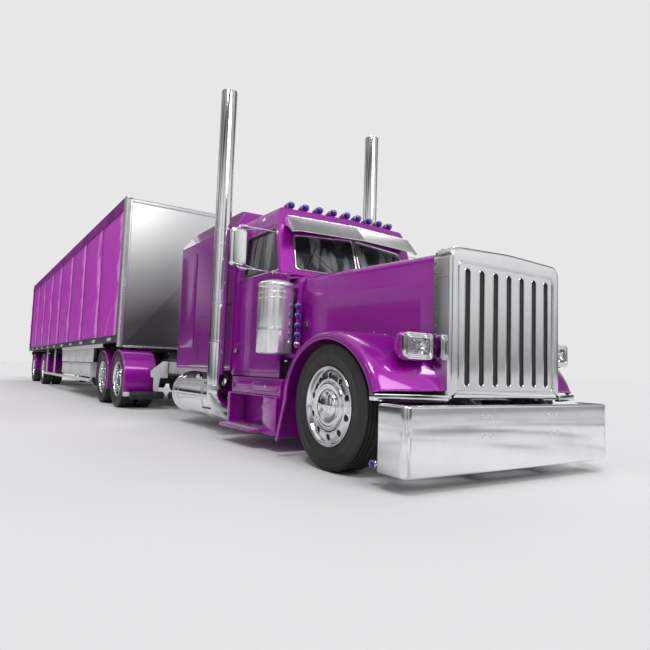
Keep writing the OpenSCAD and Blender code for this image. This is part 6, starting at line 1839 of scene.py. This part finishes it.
def make_rear_doors():
    for side, name in SIDES:
        s = Shape()
        xo, xi = T_REAR - 0.038, T_REAR - 0.0003
        z0, z1 = DECK_LOW + 0.060, T_TOP - 0.060
        y0, y1 = span(0.005, T_HALF - 0.014, side)
        s.put(slab(rounded_rect(y0, z0, y1, z1, 0.010, 4), "x", xo + 0.0075, xi, 0.003), 0)
        # frame and shallow pressed panels on the outer face
        rim = rounded_rect(y0, z0, y1, z1, 0.010, 4)
        s.put(band(rim, shrink(rim, 0.045), "x", xo + 0.009, xo + 0.0002, -0.002), 0)
        for k in range(5):
            a, b = z0 + 0.06 + 0.545 * k, z0 + 0.06 + 0.545 * k + 0.49
            s.put(slab(rounded_rect(y0 + 0.09, a, y1 - 0.09, b, 0.03, 6), "x", xo + 0.004, xo + 0.009, 0.0035,
                       4), 0)
        # seal, hinges
        s.put(band(shrink(rim, -0.003), shrink(rim, 0.006), "x", xo + 0.014, xo + 0.022), 1)
        hx, hy = T_REAR - 0.046, T_HALF + 0.004
        for z in (1.500, 2.300, 3.100, 3.880):
            s.put(lathe([(0, 0.0), (0.009, 0.0), (0.010, 0.002), (0.010, 0.058), (0.009, 0.060), (0, 0.060)],
                        20, (hx, side * hy, z)), 2)
            s.put(side_box(hx - 0.006, hx + 0.0085, T_HALF - 0.160, T_HALF + 0.004, z + 0.002, z + 0.058,
                           side, 0.003), 2)
            for k in range(3):
                s.put(dome(0.007, 0.004, 10, 2, (hx - 0.006, side * (T_HALF - 0.035 - 0.045 * k), z + 0.030),
                           (-1, 0, 0)), 2)
        # lock rods with guides, cams and handles
        for y in (0.330, 0.900):
            xr = xo - 0.0163
            s.put(tube([(xr, side * y, DECK_LOW + 0.070), (xr, side * y, DECK_LOW + 2.820)], 0.0155, 20), 3)
            for z in (1.450, 2.500, 3.850):
                s.put(box((xo - 0.016, side * y - 0.030, z), (xo + 0.0005, side * y + 0.030, z + 0.060),
                          0.005, "x"), 2)
            for z in (DECK_LOW + 0.085, DECK_LOW + 2.760):
                s.put(box((xr - 0.0165, side * y - 0.026, z), (xr + 0.012, side * y + 0.040, z + 0.042),
                          0.004, "z"), 2)
            hz = 1.62
            s.put(tube(bent([(xr - 0.010, side * y, hz), (xr - 0.0155, side * (y - 0.02), hz),
                             (xr - 0.0155, side * (y - 0.26), hz - 0.02)], 0.01), 0.0085, 12), 3)
            s.put(side_box(xr - 0.024, xo + 0.001, y - 0.250, y - 0.215, hz - 0.045, hz - 0.005, side, 0.004,
                           "x"), 2)
        s.make("rear_door_set_" + name, "rear_door_" + name, "white_panel", [WHITE, RUBBER, SILVER, CHROME],
               "rear_door_" + name, angle=35)


make_curtains()
make_deck()
make_front_wall()
make_roof()
make_posts()
make_guards()
make_side_boxes()
make_trailer_frame()
make_landing_gear()
make_rear()
make_rear_doors()
make_reservoirs()


# Cab inside
def make_closing_panels():
    """Cowl corners beside the hood, and the splash apron behind each front wheel."""
    s = Shape()
    corner = rounded_poly([(-0.979, 0.760, 0.010), (-0.9312, 0.760, 0.0), (-0.9312, 1.700, 0.0),
                           (-0.820, 1.764, 0.0), (-0.979, 1.764, 0.010)], 4)
    s.both(slab(corner, "x", -1.2100, -1.2050, 0.002))
    apron = rounded_poly([(-0.978, 0.570, 0.020), (-0.700, 0.570, 0.060), (-0.660, 1.098, 0.030),
                          (-0.978, 1.098, 0.010)], 5)
    s.both(slab(apron, "y", -0.838, -0.830, 0.002))
    for z in (0.72, 0.86, 1.00):
        s.both(tube([(-0.960, -0.8385, z), (-0.720, -0.8385, z)], 0.004, 8))
    # panel from the foot of the windscreen down to the cowl's crown
    rings = []
    for y in np.linspace(-0.958, 0.958, 49):
        crown = np.interp(abs(y), (0.0, 0.372, 0.904, 0.958), (1.8565, 1.8405, 1.8005, 1.790))
        back = -1.168 - abs(y) * math.tan(math.radians(6))
        front = -1.062 - 0.050 * max(0, abs(y) - 0.85) / 0.108
        rings.append(np.array([(front, y, crown - 0.012), (front, y, crown + 0.002),
                               (front - 0.020, y, crown + 0.008), (back + 0.040, y, 1.834), (back, y, 1.838),
                               (back, y, 1.780)]))
    s.put(rings_mesh(rings, False), 1)
    s.make("closing_panels", "chassis", "purple_paint", [DARKP, PAINT], angle=40)


def pad(length, width, up, down, pull, channels):
    """A crowned cushion with its seam at Z = 0: X along, Y across. channels are sewn across it at these X."""
    n = 40
    t = np.sin(np.linspace(-1, 1, n) * math.pi / 2)
    v, key, f = [], {}, []
    for face in (1, -1):
        for i, a in enumerate(t):
            for j, b in enumerate(t):
                k = (i, j, 0 if i in (0, n - 1) or j in (0, n - 1) else face)
                if k in key:
                    continue
                key[k] = len(v)
                x = a * math.sqrt(1 - 0.16 * b * b) * (length / 2 / math.sqrt(0.92) - pull * (1 - b ** 4))
                y = b * math.sqrt(1 - 0.16 * a * a) * (width / 2 / math.sqrt(0.92) - pull * (1 - a ** 4))
                h = ((1 - abs(a) ** 5) * (1 - abs(b) ** 5)) ** 0.42
                z = (up if face > 0 else -down) * (h if face > 0 else min(1.0, h * 1.3))
                if face > 0:
                    z *= 0.90 + 0.10 * (1 - a * a) * (1 - b * b)
                    for c in channels:
                        z -= 0.011 * h * math.exp(-((x - c) / 0.007) ** 2)
                v.append((x, y, z))
        for i in range(n - 1):
            for j in range(n - 1):
                q = [key.get((p, r, face), key.get((p, r, 0))) for p,
                     r in ((i, j), (i + 1, j), (i + 1, j + 1), (i, j + 1))]
                f.append(tuple(q if face > 0 else reversed(q)))
    rim = [v[key[(i, 0, 0)]] for i in range(n)] + [v[key[(n - 1, j, 0)]] for j in range(1, n)]
    rim += [v[key[(i, n - 1, 0)]] for i in range(n - 2, -1, -1)] + [v[key[(0, j, 0)]]
                                                                    for j in range(n - 2, 0, -1)]
    return (np.array(v), f), tube(rim, 0.0048, 8, closed=True)


def placed(vf, at, tilt):
    """Turns a shape's X up by tilt degrees and moves it."""
    c, s = math.cos(math.radians(tilt)), math.sin(math.radians(tilt))
    v = np.asarray(vf[0])
    return np.stack([v[:, 0] * c - v[:, 2] * s, v[:, 1], v[:, 0] * s + v[:, 2] * c], 1) + at, vf[1]


def make_seats():
    for side, name in SIDES:
        at = np.array([-1.960, side * 0.480, 0])
        cushion = pad(0.500, 0.480, 0.062, 0.040, 0.010, (-0.10, 0.02, 0.14))
        back = pad(0.680, 0.470, 0.045, 0.055, 0.014, (-0.20, -0.08, 0.04, 0.16))
        for part, (padding, piping), where, tilt in (("cushion", cushion, at + (0.030, 0, 1.338), 1.5),
                                                     ("back", back, at + (-0.208, 0, 1.722), 99.0)):
            s = Shape().put(placed(padding, where, tilt), 0).put(placed(piping, where, tilt), 1)
            o = s.make("seat_%s_%s" % (part, name), "chassis", "cab_trim", [SEAT, PIPING], "cab_interior",
                       angle=60)


def make_cab_fittings():
    s = Shape()
    dash = rounded_poly([(-1.178, 1.402, 0.030), (-1.014, 1.402, 0.004), (-1.014, 1.698, 0.004),
                         (-1.150, 1.699, 0.050), (-1.248, 1.640, 0.040), (-1.229, 1.520, 0.030)], 8)
    s.put(slab(dash, "y", -0.858, 0.858, 0.014, 4))
    # the instrument panel faces the driver, with its binnacle, and the shelf over the glove locker
    hood = rounded_poly([(-1.235, 1.655, 0.01), (-1.090, 1.698, 0.03), (-1.050, 1.6995, 0.01),
                         (-1.050, 1.64, 0), (-1.20, 1.60, 0.01)], 5)
    s.put(slab(hood, "y", 0.235, 0.725, 0.012, 3))
    face = rounded_rect(0.245, 1.535, 0.715, 1.632, 0.020, 6)
    s.put(slab(face, "x", -1.2485, -1.225, 0.003), 1)
    for y, z, r in ((0.400, 1.585, 0.040), (0.560, 1.585, 0.040), (0.290, 1.600, 0.020),
                    (0.290, 1.560, 0.018), (0.480, 1.560, 0.018), (0.480, 1.605, 0.018),
                    (0.670, 1.600, 0.020), (0.670, 1.560, 0.018)):
        ring = [(r * 0.86, 0.0), (r * 0.90, 0.005), (r, 0.005), (r * 1.02, 0.0)]
        s.put(lathe(ring, 28, (-1.2480, y, z), (-1, 0, 0)), 2)
        s.put(lathe([(0, 0.0012), (r * 0.86, 0.0012), (r * 0.86, 0)], 28, (-1.2480, y, z), (-1, 0, 0)), 1)
        s.put(tube([(-1.2505, y, z), (-1.2505, y + r * 0.42, z + r * 0.50)], 0.0016, 6), 3)
    for y in (-0.78, -0.12, 0.12, 0.79):
        vent = rounded_rect(y - 0.048, 1.600, y + 0.048, 1.642, 0.008, 4)
        s.put(slab(vent, "x", -1.2475, -1.225, 0.002), 1)
        for k in range(4):
            s.put(tube([(-1.2478, y - 0.042, 1.606 + 0.010 * k), (-1.2478, y + 0.042, 1.606 + 0.010 * k)],
                       0.0024, 6), 0)
    lid = rounded_rect(-0.640, 1.450, -0.220, 1.560, 0.018, 6)
    s.put(slab(lid, "x", -1.2365, -1.200, 0.006, 3))
    s.put(slab(rounded_rect(-0.450, 1.535, -0.410, 1.550, 0.004, 3), "x", -1.2400, -1.2300, 0.002), 2)
    # steering wheel and column, made along Z and tipped towards the driver
    def tipped(vf, mat):
        s.put(placed(vf, (-1.285, 0.480, 1.640), 60), mat)

    tipped(lathe([(0, -0.088), (0.024, -0.088), (0.026, -0.080), (0.026, 0.166), (0.038, 0.172),
                  (0.046, 0.184), (0, 0.186)], 32), 1)
    tipped(lathe([(0.0, -0.03), (0.046, -0.03), (0.050, -0.02), (0.046, 0.080), (0.030, 0.110), (0.0, 0.110)],
                 32), 0)
    turns = np.linspace(0, 2 * math.pi, 72, endpoint=False)
    wheel = [(0.225 * math.cos(a), 0.225 * math.sin(a), 0.178) for a in turns]
    tipped(tube(wheel, 0.0155, 14, closed=True), 4)
    for a in (90, 210, 330):
        u = np.array([math.cos(math.radians(a)), math.sin(math.radians(a))])
        w = np.array([-u[1], u[0]])
        spoke = np.array([u * 0.030 + w * 0.022, u * 0.214 + w * 0.012, u * 0.214 - w * 0.012,
                          u * 0.030 - w * 0.022])
        tipped(slab(spoke[::-1], "z", 0.173, 0.183, 0.003), 2)
    tipped(dome(0.048, 0.018, 32, 5, (0, 0, 0.183)), 4)
    # stalk, seat pedestals with their bellows and rails
    tipped(tube(bent([(0.0, -0.03, 0.10), (0.03, -0.14, 0.13)], 0.01), 0.006, 8), 1)
    for side in (-1, 1):
        x, y = -1.980, side * 0.480
        s.put(box((x - 0.175, y - 0.190, 0.992), (x + 0.175, y + 0.190, 1.030), 0.008), 1)
        prof = [(0, 1.030)]
        for k in range(6):
            prof += [(0.150, 1.034 + 0.034 * k), (0.168, 1.046 + 0.034 * k), (0.150, 1.062 + 0.034 * k)]
        s.put(lathe(prof + [(0, 1.240)], 40, (x, y, 0)), 1)
        s.put(box((x - 0.170, y - 0.195, 1.240), (x + 0.175, y + 0.195, 1.296), 0.012), 1)
        s.put(tube([(x + 0.176, y - 0.16, 1.270), (x + 0.176, y + 0.16, 1.270)], 0.008, 10), 2)
    s.make("cab_fittings", "chassis", "cab_trim", [TRIM, BLACK, ALLOY, AMBER, RUBBER], "cab_interior",
           angle=40)


def make_axle_fittings():
    """Air spring bellows, U-bolts and pivots on the trailer's axles."""
    s = Shape()
    for x in TRAILER_X:
        prof = [(0.060, 0.640)]
        for k in range(3):
            z = 0.652 + 0.072 * k
            prof += [(0.098, z), (0.107, z + 0.018), (0.108, z + 0.036), (0.100, z + 0.056)]
        s.both(lathe(prof + [(0.096, 0.866), (0.0, 0.866)], 40, (x - 0.240, -0.480, 0)), 1)
        s.both(box((x + 0.500, -0.545, 0.590), (x + 0.540, -0.415, 0.630), 0.006), 0)
        s.both(dome(0.026, 0.016, 6, 2, (x + 0.520, -0.545, 0.612), (0, -1, 0)), 2)
        for dx in (-0.075, 0.075):
            u = bent([(x + dx, -0.455, 0.700), (x + dx, -0.455, 0.430), (x + dx, -0.505, 0.430),
                      (x + dx, -0.505, 0.700)], 0.02)
            s.both(tube(u, 0.009, 8), 2)
        s.both(box((x - 0.105, -0.535, 0.676), (x + 0.105, -0.425, 0.700), 0.006), 0)
    s.make("trailer_axle_fittings", "trailer", "black_steel", [BLACK, RUBBER, SILVER], angle=40)


make_closing_panels()
make_seats()
make_cab_fittings()
make_axle_fittings()


# Studio
BACKDROP = 0.80


def world_light():
    """Even light for matt surfaces; bright metal and glass also see soft grey bands, as in a studio."""
    w = bpy.data.worlds.new("studio")
    bpy.context.scene.world = w
    w.use_nodes = True
    t = w.node_tree

    def node(kind, values=(), **settings):
        return add_node(t, kind, values, **settings)

    def share(v, lo, hi=1.0):
        return node("MapRange", {"From Min": lo, "From Max": hi, "Value": v}).outputs["Result"]

    def times(a, b):
        return node("Mix", {0: 1.0, 6: a, 7: b}, data_type="RGBA", blend_type="MULTIPLY").outputs[2]

    def larger(a, b):
        return node("Math", {0: a, 1: b}, operation="MAXIMUM").outputs[0]

    direction = node("TexCoord").outputs["Generated"]
    stretch = node("Mapping", {"Scale": (2.1, 2.1, 0.55), "Location": (0.35, 1.9, 0.2), "Vector": direction})
    bands = node("TexNoise", {"Scale": 1.0, "Detail": 1.5, "Distortion": 0.5,
                              "Vector": stretch.outputs["Vector"]})
    streaks = add_ramp(t, bands.outputs["Fac"], [(0.34, 0.06), (0.43, 0.22), (0.50, 0.62), (0.58, 0.95),
                                                 (0.70, 1.0)])
    xyz = node("SeparateXYZ", {0: direction}).outputs
    sky = add_ramp(t, share(xyz["Z"], -1.0), [(0.0, 0.8), (0.499, 0.8), (0.505, 0.35), (0.56, 0.75),
                                              (0.66, 1.0), (0.80, 0.5), (1.0, 0.9)])
    along = share(xyz["X"], -1.0)
    far_end = add_ramp(t, along, [(0.0, 0.05), (0.10, 0.07), (0.16, 0.20), (0.26, 0.6), (0.36, 1.0)])
    # only the lower part of that end is dark
    lift = share(xyz["Z"], 0.16, 0.40)
    # a soft panel stands there, beside the sleeper
    panel = add_ramp(t, along, [(0.018, 0.0), (0.024, 0.75), (0.036, 0.75), (0.042, 0.12), (0.050, 0.0)])
    beside = node("Math", {0: panel, 1: share(xyz["Z"], 0.05, 0.13)}, operation="MULTIPLY").outputs[0]
    lit = times(times(streaks, sky), larger(larger(far_end, lift), beside))
    path = node("LightPath").outputs
    shiny = larger(path["Is Glossy Ray"], path["Is Transmission Ray"])
    seen = node("Mix", {0: shiny, 6: (0.55, 0.55, 0.56, 1), 7: lit}, data_type="RGBA").outputs[2]
    last = node("Mix", {0: path["Is Camera Ray"], 6: seen, 7: (BACKDROP, BACKDROP, BACKDROP * 1.01, 1)},
                data_type="RGBA")
    feed(t, t.nodes["Background"].inputs["Color"], last.outputs[2])


def sun(name, azimuth, height, strength, angle):
    """Azimuth in degrees from +X towards +Y, where the light comes from."""
    d = bpy.data.lights.new(name, "SUN")
    d.energy = strength
    d.angle = math.radians(angle)
    o = bpy.data.objects.new(name, d)
    bpy.context.scene.collection.objects.link(o)
    a, h = math.radians(azimuth), math.radians(height)
    back = Vector((math.cos(a) * math.cos(h), math.sin(a) * math.cos(h), math.sin(h)))
    o.rotation_euler = back.to_track_quat("Z", "Y").to_euler()


def studio():
    bpy.ops.mesh.primitive_plane_add(size=700, location=(0, 0, 0))
    floor = bpy.context.object
    floor.name = "studio_floor"
    m = Mat("floor_m")
    m.set(specular_ior_level=0.15)
    reflected = m.node("LightPath").outputs["Is Glossy Ray"]
    pale = m.mix(m.noise(0.8, 6.0), (0.665, 0.665, 0.67), (0.685, 0.685, 0.69))
    patches = m.ramp(m.noise(0.42, 1.2, 0.5, 0.6), [(0.34, 0.24), (0.46, 0.50), (0.56, 0.74), (0.66, 0.80)])
    m.color(m.mix(reflected, pale, patches))
    m.rough(m.range(m.noise(5.0, 4.0), 0.65, 0.8))
    m.bump(m.noise(60.0, 3.0), 0.03)
    floor.data.materials.append(m.m)
    world_light()
    sun("key", -50, 58, 1.15, 16)
    sun("front", 4, 38, 1.25, 30)
    sun("back", 130, 48, 0.35, 25)


studio()
